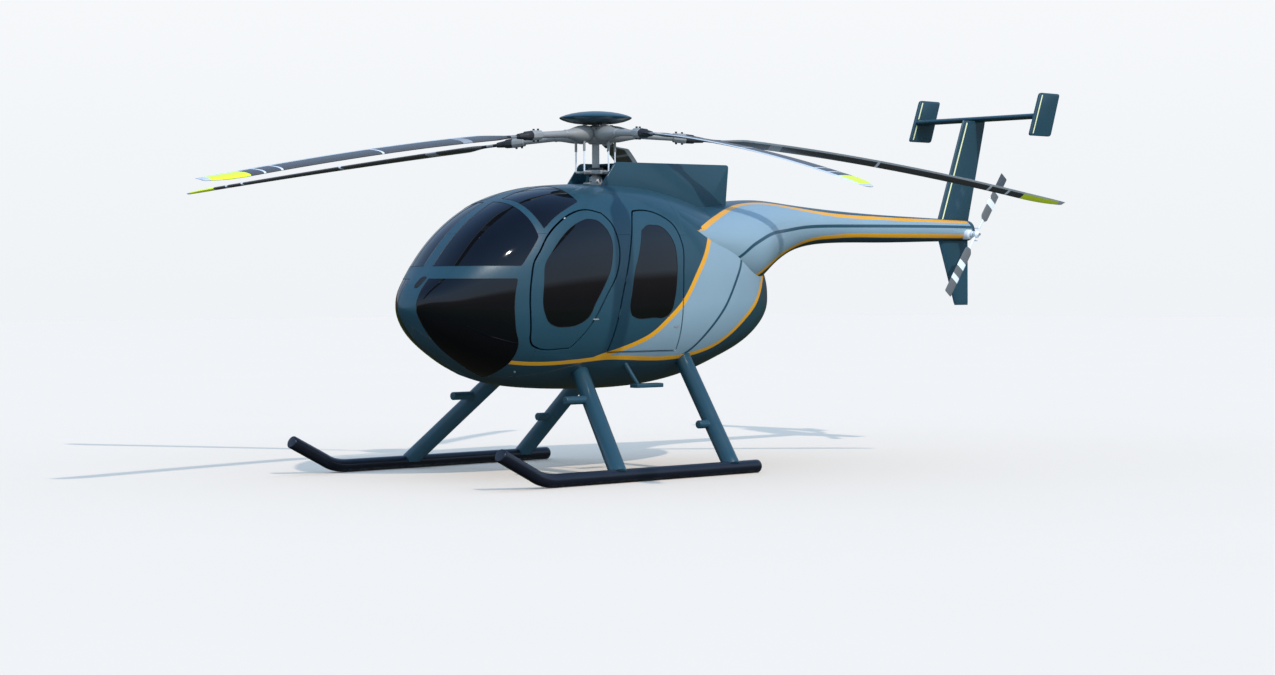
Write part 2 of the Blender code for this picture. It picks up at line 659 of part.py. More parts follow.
def mast_bearing(materials):
    """The fixed collar on the roof that the mast turns in."""
    spot = (0.0, BODY_Y + MAST_STATION)
    collar = turned("collar", MAST_BEARING, 24, spot)
    cut(collar, hull(CURVED_GAP), turned("bore", MAST_BORE, 32, spot))
    finish(collar, "mast_bearing", materials["metal"])


def skid_centre_z():
    """The tube stands on one flat of its section."""
    return SKID_RADIUS * cos(pi / SKID_SIDES)


def skid_tube(distance=0.0):
    path = [(SKID_X, BODY_Y + station, skid_centre_z() + rise) for station, rise in SKID_LINE]
    return swept("skid", path, [SKID_RADIUS + distance] * len(path), SKID_SIDES,
                 pi / SKID_SIDES)


def landing_gear(materials):
    """Two skid tubes, four struts with pegs, and the two cabin steps."""
    pair(skid_tube(), "skid_tube", materials["dark"])
    for name, inner, outer, peg_tip in STRUTS:
        ends = [Vector((x, BODY_Y + station, z)) for x, station, z in (inner, outer)]
        strut = swept(name, ends, [STRUT_RADIUS, STRUT_RADIUS], 14)
        station, z = peg_tip
        root = ends[0].lerp(ends[1], (ends[0].z - z) / (ends[0].z - ends[1].z))
        tip = Vector((root.x, BODY_Y + station, z))
        join(strut, swept("peg", [root, tip], [PEG_RADIUS, PEG_RADIUS], 10))
        cut(strut, hull(CURVED_GAP), skid_tube(CURVED_GAP),
            box("ground", (0.2, -3, -1), (2, 3, skid_centre_z())),
            box("beyond", (SKID_X + STRUT_REACH, -3, -1), (2, 3, 0.2)))
        pair(strut, name, materials["paint"])
    step = box("step", *STEP_TREAD)
    ends = [(x, BODY_Y + station, z) for x, station, z in STEP_BRACKET]
    bracket = swept("bracket", ends, [STEP_BRACKET_RADIUS] * 2, 8)
    cut(join(step, bracket), hull(CURVED_GAP))
    pair(step, "cabin_step", materials["paint"])


def build():
    clear_scene()
    materials = {
        "paint": paint("blue_paint", (0.07, 0.16, 0.27), 0.22, 0.0),
        "glass": paint("tinted_glass", (0.015, 0.02, 0.03), 0.05, 0.0),
        "metal": paint("satin_metal", (0.42, 0.43, 0.44), 0.38, 0.9),
        "dark": paint("navy_paint", (0.02, 0.025, 0.04), 0.35, 0.0),
        "trim": paint("grey_trim", (0.09, 0.095, 0.10), 0.60, 0.0),
        "cloth": paint("seat_cloth", (0.10, 0.10, 0.12), 0.85, 0.0),
        "blade": paint("blade_grey", (0.16, 0.17, 0.19), 0.40, 0.0),
    }
    fuselage(materials)
    window("windscreen", WINDSCREEN, POST_HALF_WIDTH, materials)
    window("chin_window", CHIN_WINDOW, CHIN_HALF_WIDTH, materials)
    window("roof_window", ROOF_WINDOW, ROOF_HALF_WIDTH, materials)
    doors(materials)
    cabin(materials)
    rotor_fairing(materials)
    tail(materials)
    tail_rotor(materials)
    main_rotor(materials)
    mast_bearing(materials)
    landing_gear(materials)


build()
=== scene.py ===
"""Looks of a light turbine helicopter on skids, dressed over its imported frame.

Metres, nose towards -Y, port side towards +X, floor at z = 0. Stations are counted from just
behind the mast, as in the part's source; station 0 lies at y = BODY_Y.
"""
from math import ceil, cos, pi, radians, sin, sqrt

import bmesh
import bpy
import numpy as np
from mathutils import Matrix, Vector
from mathutils.geometry import delaunay_2d_cdt


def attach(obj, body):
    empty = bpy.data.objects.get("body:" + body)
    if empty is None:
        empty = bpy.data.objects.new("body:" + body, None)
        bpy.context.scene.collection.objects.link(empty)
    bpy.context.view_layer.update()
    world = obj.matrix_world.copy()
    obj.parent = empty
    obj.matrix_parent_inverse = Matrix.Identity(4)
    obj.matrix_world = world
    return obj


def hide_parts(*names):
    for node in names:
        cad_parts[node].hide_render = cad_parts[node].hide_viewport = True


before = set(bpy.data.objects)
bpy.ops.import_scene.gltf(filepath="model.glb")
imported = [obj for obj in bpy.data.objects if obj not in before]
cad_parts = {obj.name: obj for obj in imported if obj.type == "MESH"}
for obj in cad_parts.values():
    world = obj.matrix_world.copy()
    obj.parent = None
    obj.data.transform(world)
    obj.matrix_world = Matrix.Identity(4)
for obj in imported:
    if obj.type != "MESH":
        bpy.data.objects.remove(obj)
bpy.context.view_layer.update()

# Driving dimensions
BODY_Y = -0.65
SEAM = 0.014                # open seam around a door
JOINT = 0.0005              # between two fixed skins
WALL = 0.028
GLASS = 0.008
PANE_SINK = 0.001
LIP = 0.0014                # rounding of a skin's edge
CUT_IN = -0.004             # how far a piece is cut inside the skin it stands on
MAST_STATION = -0.03
HUB_Z = 2.735
ROTOR_RADIUS = 4.0
BLADE_CHORD = 0.17
GRIP_RADIUS = 0.80          # where a blade leaves its grip
REST_AZIMUTH = radians(3.2)
TAIL_ROTOR = Vector((0.20, 4.714 + BODY_Y, 1.97))
TAIL_ROTOR_RADIUS = 0.70
TAIL_BLADE_TILT = radians(52.4)
SKID_X = 1.241
SKID_RADIUS = 0.0522
SKID_CENTRE_Z = SKID_RADIUS     # the tubes lie on the floor
POST_HALF_WIDTH = 0.055
CHIN_HALF_WIDTH = 0.11
ROOF_HALF_WIDTH = 0.09
HEADER_Z = 1.90
SILL_Z = 0.9655
AFT_STATION = 0.36
NOSE_STATION = -1.20
FLOOR_TOP = 0.8253

# Fuselage sections: station, top, bottom, half width, height of the widest point
BODY = np.array([
    (-2.0545, 1.325, 1.325, 0.000, 1.325),
    (-2.05, 1.348, 1.302, 0.049, 1.325),
    (-1.97, 1.494, 1.178, 0.212, 1.340),
    (-1.85, 1.618, 1.053, 0.339, 1.330),
    (-1.65, 1.839, 0.917, 0.464, 1.320),
    (-1.40, 2.043, 0.794, 0.572, 1.310),
    (-1.10, 2.197, 0.716, 0.656, 1.310),
    (-0.80, 2.275, 0.684, 0.696, 1.320),
    (-0.40, 2.314, 0.666, 0.712, 1.330),
    (0.00, 2.322, 0.665, 0.711, 1.340),
    (0.40, 2.293, 0.688, 0.688, 1.360),
    (0.80, 2.210, 0.755, 0.638, 1.380),
    (1.15, 2.089, 0.859, 0.551, 1.380),
    (1.45, 1.929, 0.964, 0.439, 1.380),
    (1.70, 1.759, 1.098, 0.295, 1.380),
    (1.87, 1.580, 1.217, 0.145, 1.390),
    (1.94, 1.440, 1.340, 0.030, 1.390),
    (1.943, 1.390, 1.390, 0.000, 1.390),
])
UPPER_POWER = 2.6
LOWER_POWER = 2.065

# Tail boom sections: station, centre height, half height, half width
BOOM = np.array([
    (0.10, 2.040, 0.270, 0.480),
    (0.40, 1.977, 0.294, 0.558),
    (0.75, 1.853, 0.322, 0.588),
    (1.10, 1.824, 0.369, 0.548),
    (1.45, 1.818, 0.397, 0.535),
    (1.80, 1.902, 0.331, 0.387),
    (2.20, 1.988, 0.222, 0.250),
    (2.80, 2.019, 0.149, 0.150),
    (3.50, 2.010, 0.127, 0.123),
    (4.20, 2.009, 0.111, 0.106),
    (4.86, 2.008, 0.095, 0.090),
])

# Side outlines: station and height, clockwise from the top
FRONT_DOOR = [
    (-0.630, 2.094), (-0.819, 2.054), (-0.956, 1.985), (-1.089, 1.884), (-1.186, 1.763),
    (-1.250, 1.677), (-1.286, 1.555), (-1.286, 1.150), (-1.270, 1.077), (-1.240, 1.038),
    (-1.205, 1.021), (-0.893, 1.009), (-0.792, 1.126), (-0.588, 1.420), (-0.474, 1.587),
    (-0.420, 1.754), (-0.416, 1.887), (-0.438, 1.990), (-0.500, 2.069),
]
FRONT_WINDOW = [
    (-0.654, 2.020), (-0.767, 1.993), (-0.900, 1.926), (-1.084, 1.761), (-1.160, 1.663),
    (-1.183, 1.533), (-1.185, 1.286), (-1.150, 1.220), (-1.074, 1.182), (-0.986, 1.177),
    (-0.869, 1.196), (-0.776, 1.249), (-0.707, 1.358), (-0.617, 1.489), (-0.544, 1.610),
    (-0.503, 1.731), (-0.483, 1.853), (-0.508, 1.941), (-0.565, 2.002),
]
REAR_DOOR = [
    (-0.154, 2.090), (-0.163, 2.078), (-0.256, 1.891), (-0.345, 1.650), (-0.461, 1.250),
    (-0.485, 1.110), (-0.497, 0.971), (0.299, 0.971), (0.276, 1.200), (0.276, 1.385),
    (0.291, 1.600), (0.313, 1.850), (0.262, 1.990), (0.162, 2.057), (-0.130, 2.094),
]
REAR_WINDOW = [
    (-0.043, 1.979), (-0.133, 1.935), (-0.174, 1.834), (-0.223, 1.722), (-0.276, 1.610),
    (-0.317, 1.444), (-0.336, 1.300), (-0.322, 1.262), (-0.286, 1.246), (-0.061, 1.240),
    (0.050, 1.241), (0.128, 1.285), (0.170, 1.386), (0.205, 1.555), (0.222, 1.713),
    (0.216, 1.838), (0.175, 1.916), (0.113, 1.967), (0.023, 1.982),
]
WINDSCREEN = [
    (-1.960, 2.300), (-1.960, 1.650), (-1.355, 1.650), (-1.165, 1.875), (-1.170, 1.961),
    (-1.190, 2.094), (-1.208, 2.300),
]
CHIN_WINDOW = [
    (-2.200, 1.553), (-2.200, 0.650), (-1.377, 0.650), (-1.356, 0.839), (-1.342, 0.909),
    (-1.351, 1.035), (-1.408, 1.171), (-1.429, 1.317), (-1.422, 1.429), (-1.396, 1.553),
]
ROOF_WINDOW = [
    (-1.138, 2.400), (-1.130, 2.091), (-1.100, 1.938), (-0.982, 2.020), (-0.839, 2.091),
    (-0.666, 2.159), (-0.700, 2.400),
]

# Paint lines on the port side: x, station, height
LOW_LINE = [
    (0.400, -1.360, 0.906), (0.480, -1.000, 0.911), (0.559, -0.637, 0.916), (0.571, -0.537, 0.924),
    (0.569, -0.211, 0.924), (0.527, 0.433, 0.925), (0.520, 0.578, 0.946), (0.511, 0.830, 1.008),
    (0.517, 1.037, 1.114), (0.507, 1.227, 1.246), (0.455, 1.410, 1.380), (0.389, 1.537, 1.523),
    (0.310, 1.640, 1.640),
]
CURVE_LINE = [
    (0.571, -0.600, 0.920), (0.595, -0.519, 0.945), (0.612, -0.432, 0.968), (0.640, -0.250, 1.025),
    (0.673, -0.055, 1.106), (0.697, 0.105, 1.223), (0.697, 0.290, 1.370), (0.675, 0.454, 1.570),
    (0.637, 0.598, 1.744), (0.590, 0.690, 1.877), (0.562, 0.730, 1.925), (0.530, 0.780, 1.950),
    (0.450, 0.900, 2.000), (0.392, 1.020, 2.020), (0.300, 1.200, 2.030),
]
PIN_LINE = [
    (0.530, 0.400, 0.925), (0.548, 0.463, 0.955), (0.599, 0.600, 1.073), (0.626, 0.729, 1.204),
    (0.621, 0.875, 1.359), (0.583, 1.021, 1.541), (0.533, 1.129, 1.675), (0.500, 1.180, 1.760),
]
BOOM_TOP_LINE = [
    (0.571, 0.637, 1.965), (0.483, 0.824, 2.023), (0.392, 1.020, 2.080), (0.288, 1.264, 2.144),
    (0.205, 1.494, 2.182), (0.170, 1.700, 2.194), (0.150, 1.950, 2.186), (0.128, 2.365, 2.152),
    (0.107, 2.875, 2.118), (0.086, 3.403, 2.104), (0.076, 3.933, 2.096), (0.050, 4.719, 2.088),
    (0.046, 4.870, 2.086),
]
BOOM_PIN_LINE = [
    (0.535, 1.100, 1.720), (0.541, 1.171, 1.766), (0.549, 1.252, 1.821), (0.544, 1.347, 1.865),
    (0.521, 1.463, 1.906), (0.352, 1.878, 1.964), (0.241, 2.238, 1.999), (0.147, 2.829, 2.022),
    (0.125, 3.357, 2.030), (0.112, 3.889, 2.036), (0.094, 4.499, 2.040), (0.088, 4.870, 2.040),
]
BOOM_LOW_LINE = [
    (0.430, 1.330, 1.520), (0.440, 1.400, 1.565), (0.446, 1.465, 1.605), (0.440, 1.539, 1.650),
    (0.361, 1.743, 1.716), (0.259, 1.965, 1.778), (0.199, 2.142, 1.824), (0.172, 2.285, 1.863),
    (0.154, 2.418, 1.890), (0.141, 2.547, 1.908), (0.124, 2.703, 1.922), (0.114, 3.006, 1.938),
    (0.105, 3.508, 1.945), (0.095, 3.906, 1.949), (0.078, 4.634, 1.950), (0.074, 4.870, 1.950),
]


def unit(vectors, guard=0.0):
    """Vectors made one long; a guard keeps those without a length from dividing by zero."""
    return vectors / (np.linalg.norm(vectors, axis=-1, keepdims=True) + guard)


def in_scene(name, data):
    """A new object with this mesh, light or camera."""
    obj = bpy.data.objects.new(name, data)
    bpy.context.scene.collection.objects.link(obj)
    return obj


def circle(count):
    """Turns round a circle, in radians."""
    return np.linspace(0, 2 * pi, count, endpoint=False)


class Wire:
    """A socket of a node tree, which can be used in a Python expression like a number."""

    def __init__(self, tree, socket=None):
        self.tree = tree
        self.socket = socket

    def node(self, kind, settings=None, inputs=None, output=0):
        """Add a node: first its settings, then the values or wires of its sockets."""
        node = self.tree.nodes.new(kind)
        for setting, value in (settings or {}).items():
            if setting == "stops":
                set_stops(node.color_ramp, value)
            else:
                setattr(node, setting, value)
        for key, value in (inputs or {}).items():
            plug(self.tree, node.inputs[key], value)
        return Wire(self.tree, node.outputs[output])

    def maths(self, operation, *values):
        """A Math node on these values."""
        return self.node("ShaderNodeMath", {"operation": operation}, dict(enumerate(values)))

    def __add__(self, other):
        return self.maths("ADD", self, other)

    def __radd__(self, other):
        return self.maths("ADD", other, self)

    def __sub__(self, other):
        return self.maths("SUBTRACT", self, other)

    def __rsub__(self, other):
        return self.maths("SUBTRACT", other, self)

    def __mul__(self, other):
        return self.maths("MULTIPLY", self, other)

    def __rmul__(self, other):
        return self.maths("MULTIPLY", other, self)

    def __truediv__(self, other):
        return self.maths("DIVIDE", self, other)

    def __pow__(self, other):
        return self.maths("POWER", self, other)

    def __abs__(self):
        return self.maths("ABSOLUTE", self)

    def least(self, other):
        return self.maths("MINIMUM", self, other)

    def most(self, other):
        return self.maths("MAXIMUM", self, other)

    def ramp(self, low, high):
        """0 where this is low or less, 1 where it is high or more, straight between."""
        return self.node("ShaderNodeMapRange", {}, {0: self, 1: low, 2: high, 3: 0.0, 4: 1.0})


def plug(tree, socket, value):
    """Link a wire to a socket, or set its value."""
    if isinstance(value, Wire):
        tree.links.new(value.socket, socket)
    else:
        socket.default_value = value


def set_stops(ramp, stops):
    """Give a colour ramp its places and colours."""
    ramp.elements[0].position = stops[0][0]
    ramp.elements[0].color = (*stops[0][1], 1.0)
    ramp.elements.remove(ramp.elements[1])
    for place, colour in stops[1:]:
        element = ramp.elements.new(place)
        element.color = (*colour, 1.0)


class Finish(Wire):
    """A material: one Principled shader, fed by expressions."""

    def __init__(self, name, **constants):
        self.material = bpy.data.materials.new(name)
        self.material.use_nodes = True
        super().__init__(self.material.node_tree)
        self.shader = self.tree.nodes["Principled BSDF"]
        for name, value in constants.items():
            self.shader.inputs[name.replace("_", " ")].default_value = value
        self.place = self.node("ShaderNodeTexCoord", output=3)

    def noise(self, scale, detail=3.0, roughness=0.5, place=None):
        """Cloudy noise from 0 to 1, with scale features in a metre."""
        return self.node("ShaderNodeTexNoise", {}, {
            "Vector": place or self.place, "Scale": scale, "Detail": detail,
            "Roughness": roughness})

    def attribute(self, name):
        return self.node("ShaderNodeAttribute", {"attribute_name": name}, output=2)

    def axis(self, index):
        """The x, y or z of the place on the piece."""
        return self.node("ShaderNodeSeparateXYZ", {}, {0: self.place}, index)

    def mix(self, share, low, high):
        """A colour between two others."""
        low, high = [colour if isinstance(colour, Wire) else (*colour, 1.0)
                     for colour in (low, high)]
        return self.node("ShaderNodeMix", {"data_type": "RGBA"}, {0: share, 6: low, 7: high}, 2)

    def bump(self, height, strength, distance):
        return self.node("ShaderNodeBump", {}, {
            "Strength": strength, "Distance": distance, "Height": height})

    def feed(self, **wires):
        """Wire the shader's sockets, with _ for a space in their names."""
        for name, wire in wires.items():
            plug(self.tree, self.shader.inputs[name.replace("_", " ")], wire)
        return self


# Colours of the real finishes, linear
BLUE = (0.0165, 0.056, 0.080)
PALE = (0.225, 0.31, 0.36)
DEEP = (0.018, 0.054, 0.074)
YELLOW = (0.78, 0.34, 0.012)
PIN = (0.020, 0.064, 0.094)
STRIP = (0.80, 0.78, 0.42)
STRIPE_HALF = 0.021
PIN_HALF = 0.014
BLEND = 0.0006              # half the width over which one colour gives way to the next
BOOM_END_SLANT = 0.35       # slope of the line where the boom's stripes end
BOOM_PALE_END = 4.80 + BODY_Y + BOOM_END_SLANT * 2.0


def tint(colour, share):
    """A colour made lighter or darker."""
    return tuple(share * part for part in colour)


def line_mask(finish, name, half_width):
    """1 on a paint line, from the signed distance kept on the mesh."""
    return abs(finish.attribute(name)).ramp(half_width + BLEND, half_width - BLEND)


def paint_finish(name, striped):
    """Glossy blue paint, with the stripes and the pale area where the mesh carries them."""
    finish = Finish(name, IOR=1.5, Coat_Roughness=0.04, Metallic=0.0)
    clouds = finish.noise(1.7, 4.0, 0.55)
    fine = finish.noise(46.0, 3.0, 0.6)
    dust = finish.noise(7.0, 5.0, 0.62)
    colour = finish.mix(clouds, tint(BLUE, 0.86), tint(BLUE, 1.14))
    if striped:
        low = finish.attribute("low_line")
        curve = finish.attribute("curve_line")
        end = (finish.axis(1) + BOOM_END_SLANT * finish.axis(2)).ramp(
            BOOM_PALE_END + BLEND, BOOM_PALE_END - BLEND)
        pale = curve.ramp(-BLEND, BLEND) * low.ramp(-BLEND, BLEND) * end
        below = low.ramp(BLEND, -BLEND)
        pale_colour = finish.mix(clouds, tint(PALE, 0.93), tint(PALE, 1.07))
        colour = finish.mix(below * 0.85, colour, DEEP)
        colour = finish.mix(pale, colour, pale_colour)
        pin = line_mask(finish, "pin_line", PIN_HALF) * pale
        colour = finish.mix(pin, colour, PIN)
        stripe = line_mask(finish, "low_line", STRIPE_HALF).most(
            line_mask(finish, "curve_line", STRIPE_HALF)) * end
        colour = finish.mix(stripe, colour, finish.mix(dust, YELLOW, (0.68, 0.29, 0.010)))
    grime = finish.axis(2).ramp(1.15, 0.62) * dust.ramp(0.42, 0.80)
    colour = finish.mix(grime * 0.18, colour, (0.045, 0.048, 0.045))
    rough = 0.25 + 0.10 * fine + 0.16 * grime
    return finish.feed(Base_Color=colour, Roughness=rough, Coat_Weight=0.42 - 0.20 * grime,
                       Normal=finish.bump(finish.noise(2.6, 2.0), 0.10, 0.004)).material


def glass_finish():
    """Dark tinted acrylic: nearly black, with a mirror gloss and faint streaks."""
    finish = Finish("tinted_glass_finish", IOR=1.49, Coat_Weight=1.0, Coat_Roughness=0.01,
                    Transmission_Weight=0.0)
    streaks = finish.noise(3.0, 4.0, 0.6)
    colour = finish.mix(streaks, (0.0022, 0.0026, 0.0036), (0.0040, 0.0048, 0.0066))
    rough = 0.03 + 0.05 * finish.noise(14.0, 5.0, 0.65).ramp(0.5, 0.85)
    return finish.feed(Base_Color=colour, Roughness=rough).material


def trim_finish(name, light, dark, grain=260.0, rough=0.62):
    """Moulded grey plastic or painted lining, with a fine grain."""
    finish = Finish(name, IOR=1.46)
    clouds = finish.noise(6.0, 4.0)
    speckle = finish.noise(grain, 2.0, 0.7)
    return finish.feed(
        Base_Color=finish.mix(clouds * 0.7 + speckle * 0.3, dark, light),
        Roughness=rough - 0.12 * clouds,
        Normal=finish.bump(speckle, 0.35, 0.0006)).material


def metal_finish(name, light, dark, rough=0.36, metallic=0.85):
    """Cast or turned metal with a brushed grain and oily patches."""
    finish = Finish(name, IOR=1.5)
    stretched = finish.node("ShaderNodeMapping", {}, {0: finish.place, 3: (90.0, 90.0, 900.0)})
    grain = finish.noise(1.0, 2.0, 0.6, stretched)
    oil = finish.noise(11.0, 4.0, 0.6).ramp(0.45, 0.75)
    colour = finish.mix(grain * 0.45 + oil * 0.55, light, dark)
    return finish.feed(Base_Color=colour, Metallic=metallic - 0.25 * oil,
                       Roughness=rough + 0.14 * grain + 0.08 * oil,
                       Normal=finish.bump(grain, 0.12, 0.0004)).material


def dark_paint_finish():
    """Near-black navy paint of the skid tubes, scuffed underneath."""
    finish = Finish("skid_paint_finish", IOR=1.5, Coat_Roughness=0.08)
    scuffs = finish.noise(38.0, 6.0, 0.72)
    worn = finish.axis(2).ramp(0.030, 0.004) * scuffs.ramp(0.46, 0.60)
    colour = finish.mix(finish.noise(5.0), (0.0045, 0.0060, 0.0120), (0.0075, 0.0095, 0.0180))
    colour = finish.mix(worn, colour, (0.11, 0.112, 0.115))
    return finish.feed(Base_Color=colour, Roughness=0.26 + 0.10 * scuffs + 0.2 * worn,
                       Metallic=worn * 0.8, Coat_Weight=0.6 - 0.6 * worn).material


paint = paint_finish("blue_paint_finish", False)
striped_paint = paint_finish("striped_paint_finish", True)
glass = glass_finish()
lining = trim_finish("cabin_lining_finish", (0.125, 0.130, 0.138), (0.075, 0.078, 0.084))
trim = trim_finish("grey_trim_finish", (0.060, 0.062, 0.066), (0.030, 0.031, 0.034))
metal = metal_finish("satin_metal_finish", (0.36, 0.35, 0.335), (0.22, 0.215, 0.21), 0.42, 0.30)
dark_metal = metal_finish("dark_grip_finish", (0.050, 0.050, 0.053), (0.018, 0.018, 0.020), 0.42,
                          0.4)
white_metal = metal_finish("white_gearbox_finish", (0.80, 0.81, 0.83), (0.62, 0.63, 0.65), 0.30,
                           0.0)
skid_paint = dark_paint_finish()
rubber = trim_finish("seal_rubber_finish", (0.020, 0.020, 0.021), (0.010, 0.010, 0.011), 700.0,
                     0.5)
white_paint = trim_finish("white_mark_finish", (0.75, 0.75, 0.72), (0.60, 0.60, 0.58), 400.0, 0.5)
carpet = trim_finish("carpet_finish", (0.055, 0.058, 0.064), (0.018, 0.019, 0.022), 900.0, 0.95)
cowl_inner = trim_finish("cowl_inner_finish", (0.30, 0.29, 0.27), (0.19, 0.185, 0.175))
piping_cloth = trim_finish("piping_finish", (0.020, 0.022, 0.026), (0.012, 0.013, 0.015), 1500.0,
                           0.7)


def woven_finish(name, light, dark, thread):
    """Cloth woven of threads this far apart, with a soft sheen and worn patches."""
    finish = Finish(name, Sheen_Weight=0.25, Sheen_Roughness=0.4, IOR=1.4)
    across = [finish.node("ShaderNodeTexWave", {"bands_direction": way}, {
        "Vector": finish.place, "Scale": 0.314 / thread, "Distortion": 0.6, "Detail": 1.0,
        "Detail Scale": 2.0}, 1) for way in ("X", "Y", "Z")]
    weave = across[0] * 0.4 + across[1] * 0.3 + across[2] * 0.3
    worn = finish.noise(9.0, 4.0, 0.6)
    colour = finish.mix(weave * 0.6 + worn * 0.4, dark, light)
    return finish.feed(Base_Color=colour, Roughness=0.78 + 0.12 * worn,
                       Normal=finish.bump(weave, 0.5, 0.0005)).material


seat_cloth = woven_finish("seat_cloth_finish", (0.050, 0.062, 0.080), (0.020, 0.026, 0.036),
                          0.0024)
webbing = woven_finish("webbing_finish", (0.080, 0.082, 0.085), (0.035, 0.036, 0.038), 0.0016)


def spline(knots, values):
    """A natural cubic spline through values at knots: gives values and slopes."""
    steps = np.diff(knots)
    count = len(knots)
    system = np.eye(count)
    right = np.zeros(count)
    for i in range(1, count - 1):
        system[i, i - 1:i + 2] = steps[i - 1], 2 * (steps[i - 1] + steps[i]), steps[i]
        right[i] = 6 * ((values[i + 1] - values[i]) / steps[i]
                        - (values[i] - values[i - 1]) / steps[i - 1])
    curving = np.linalg.solve(system, right)

    def at(x):
        i = np.clip(np.searchsorted(knots, x) - 1, 0, count - 2)
        ahead, past, step = knots[i + 1] - x, x - knots[i], steps[i]
        near, far = curving[i], curving[i + 1]
        start = values[i] / step - near * step / 6
        end = values[i + 1] / step - far * step / 6
        value = (near * ahead ** 3 + far * past ** 3) / (6 * step) + start * ahead + end * past
        slope = (far * past ** 2 - near * ahead ** 2) / (2 * step) - start + end
        return value, slope

    return at


class Hull:
    """The fuselage's outer form, and the plane that its skin is laid out on.

    A place on the port side is a turn along the body (0 at the nose, pi at the tail) and a
    turn round its section (-pi/2 at the keel, 0 at the widest point, pi/2 on top). The plane's
    axes are the length along the widest line and the girth from it, in metres.
    """
    ALONG = 601
    AROUND = 241

    def __init__(self):
        station = BODY[:, 0]
        self.middle = (station[0] + station[-1]) / 2
        self.half = (station[-1] - station[0]) / 2
        knots = self.turn_of(station)
        top, bottom, width, widest = BODY[:, 1:].T
        self.forms = [spline(knots, form) for form in (width, widest, top - widest,
                                                       widest - bottom)]
        self.turns = np.linspace(0, pi, self.ALONG)
        self.rounds = np.linspace(-pi / 2, pi / 2, self.AROUND)
        width_now, width_slope = self.forms[0](self.turns)
        rate = np.hypot(self.half * np.sin(self.turns), width_slope)
        self.length = np.concatenate([[0], np.cumsum((rate[1:] + rate[:-1]) / 2
                                                     * np.diff(self.turns))])
        grid_turn, grid_round = np.meshgrid(self.turns, self.rounds, indexing="ij")
        points, _ = self.surface(grid_turn, grid_round)
        reach = np.linalg.norm(np.diff(points[:, :, [0, 2]], axis=1), axis=2)
        girth = np.concatenate([np.zeros((self.ALONG, 1)), np.cumsum(reach, axis=1)], axis=1)
        self.girth = girth - girth[:, [self.AROUND // 2]]
        self.shares = np.linspace(-1, 1, self.AROUND)
        self.round_at = np.array([
            np.interp(self.shares, row / np.where(row < 0, -row[0] + 1e-12, row[-1] + 1e-12),
                      self.rounds) for row in self.girth])

    def turn_of(self, station):
        """The turn along the body at a station."""
        return np.arccos(np.clip((self.middle - station) / self.half, -1, 1))

    def surface(self, turn, around):
        """Points and outward normals, port side."""
        (width, width_slope), (widest, widest_slope), (up, up_slope), (down, down_slope) = [
            form(turn) for form in self.forms]
        upper = around >= 0
        height = np.maximum(np.where(upper, up, down), 1e-5)
        height_slope = np.where(upper, up_slope, down_slope)
        width = np.maximum(width, 1e-5)
        sign = np.where(upper, 1.0, -1.0)
        power = 2 / np.where(upper, UPPER_POWER, LOWER_POWER)
        across = np.clip(np.cos(around), 0, 1)
        rise = np.abs(np.sin(around))
        x = width * across ** power
        z = widest + sign * height * rise ** power
        y = BODY_Y + self.middle - self.half * np.cos(turn)
        along = np.maximum(self.half * np.sin(turn), 1e-4)
        normal = np.stack([
            across ** (2 - power) / width,
            -(width_slope / width * across ** 2 + sign * widest_slope / height
              * rise ** (2 - power) + height_slope / height * rise ** 2) / along,
            sign * rise ** (2 - power) / height], axis=-1)
        return np.stack([x, y, z], axis=-1), unit(normal)

    def lookup(self, table, turn, column):
        """A table's value between its entries, by turn and by a share of its columns."""
        row = np.clip(turn / pi * (self.ALONG - 1), 0, self.ALONG - 1.000001)
        column = np.clip(column, 0, self.AROUND - 1.000001)
        i, j = row.astype(int), column.astype(int)
        a, b = row - i, column - j
        return ((1 - a) * (1 - b) * table[i, j] + a * (1 - b) * table[i + 1, j]
                + (1 - a) * b * table[i, j + 1] + a * b * table[i + 1, j + 1])

    def girth_of(self, turn, around):
        """Distance round the section from its widest point."""
        return self.lookup(self.girth, turn, (around / pi + 0.5) * (self.AROUND - 1))

    def off_plane(self, flat):
        """Turns for points of the layout plane."""
        turn = np.interp(flat[:, 0], self.length, self.turns)
        low = np.interp(turn, self.turns, self.girth[:, 0])
        high = np.interp(turn, self.turns, self.girth[:, -1])
        share = np.where(flat[:, 1] < 0, -flat[:, 1] / np.minimum(low, -1e-9),
                         flat[:, 1] / np.maximum(high, 1e-9))
        around = self.lookup(self.round_at, turn, (share + 1) / 2 * (self.AROUND - 1))
        around = np.where(share > 0.99999, pi / 2, np.where(share < -0.99999, -pi / 2, around))
        return turn, around

    def section(self, station):
        """Half width, widest height, rise and fall of the section at a station."""
        return [form(self.turn_of(station))[0] for form in self.forms]

    def to_plane(self, station, z):
        """Plane coordinates of side-view points that lie on the skin."""
        turn = self.turn_of(station)
        width, widest, up, down = self.section(station)
        upper = z >= widest
        share = np.clip(np.abs(z - widest) / np.where(upper, up, down), 0, 1)
        power = np.where(upper, UPPER_POWER, LOWER_POWER)
        around = np.where(upper, 1, -1) * np.arcsin(np.clip(share ** (power / 2), 0, 1))
        return np.stack([np.interp(turn, self.turns, self.length),
                         self.girth_of(turn, around)], axis=-1)

    def limits(self, station, x):
        """Lowest and highest z of the skin at a distance from the centre plane."""
        width, widest, up, down = self.section(station)
        share = np.clip(x / np.maximum(width, 1e-6), 0, 1)
        high = widest + up * (1 - share ** UPPER_POWER) ** (1 / UPPER_POWER)
        low = widest - down * (1 - share ** LOWER_POWER) ** (1 / LOWER_POWER)
        return low, high, width > x


def bend(start, corner, end, share):
    """A point on the curve from a start to an end that rounds the corner between them."""
    return (1 - share) ** 2 * start + 2 * share * (1 - share) * corner + share ** 2 * end


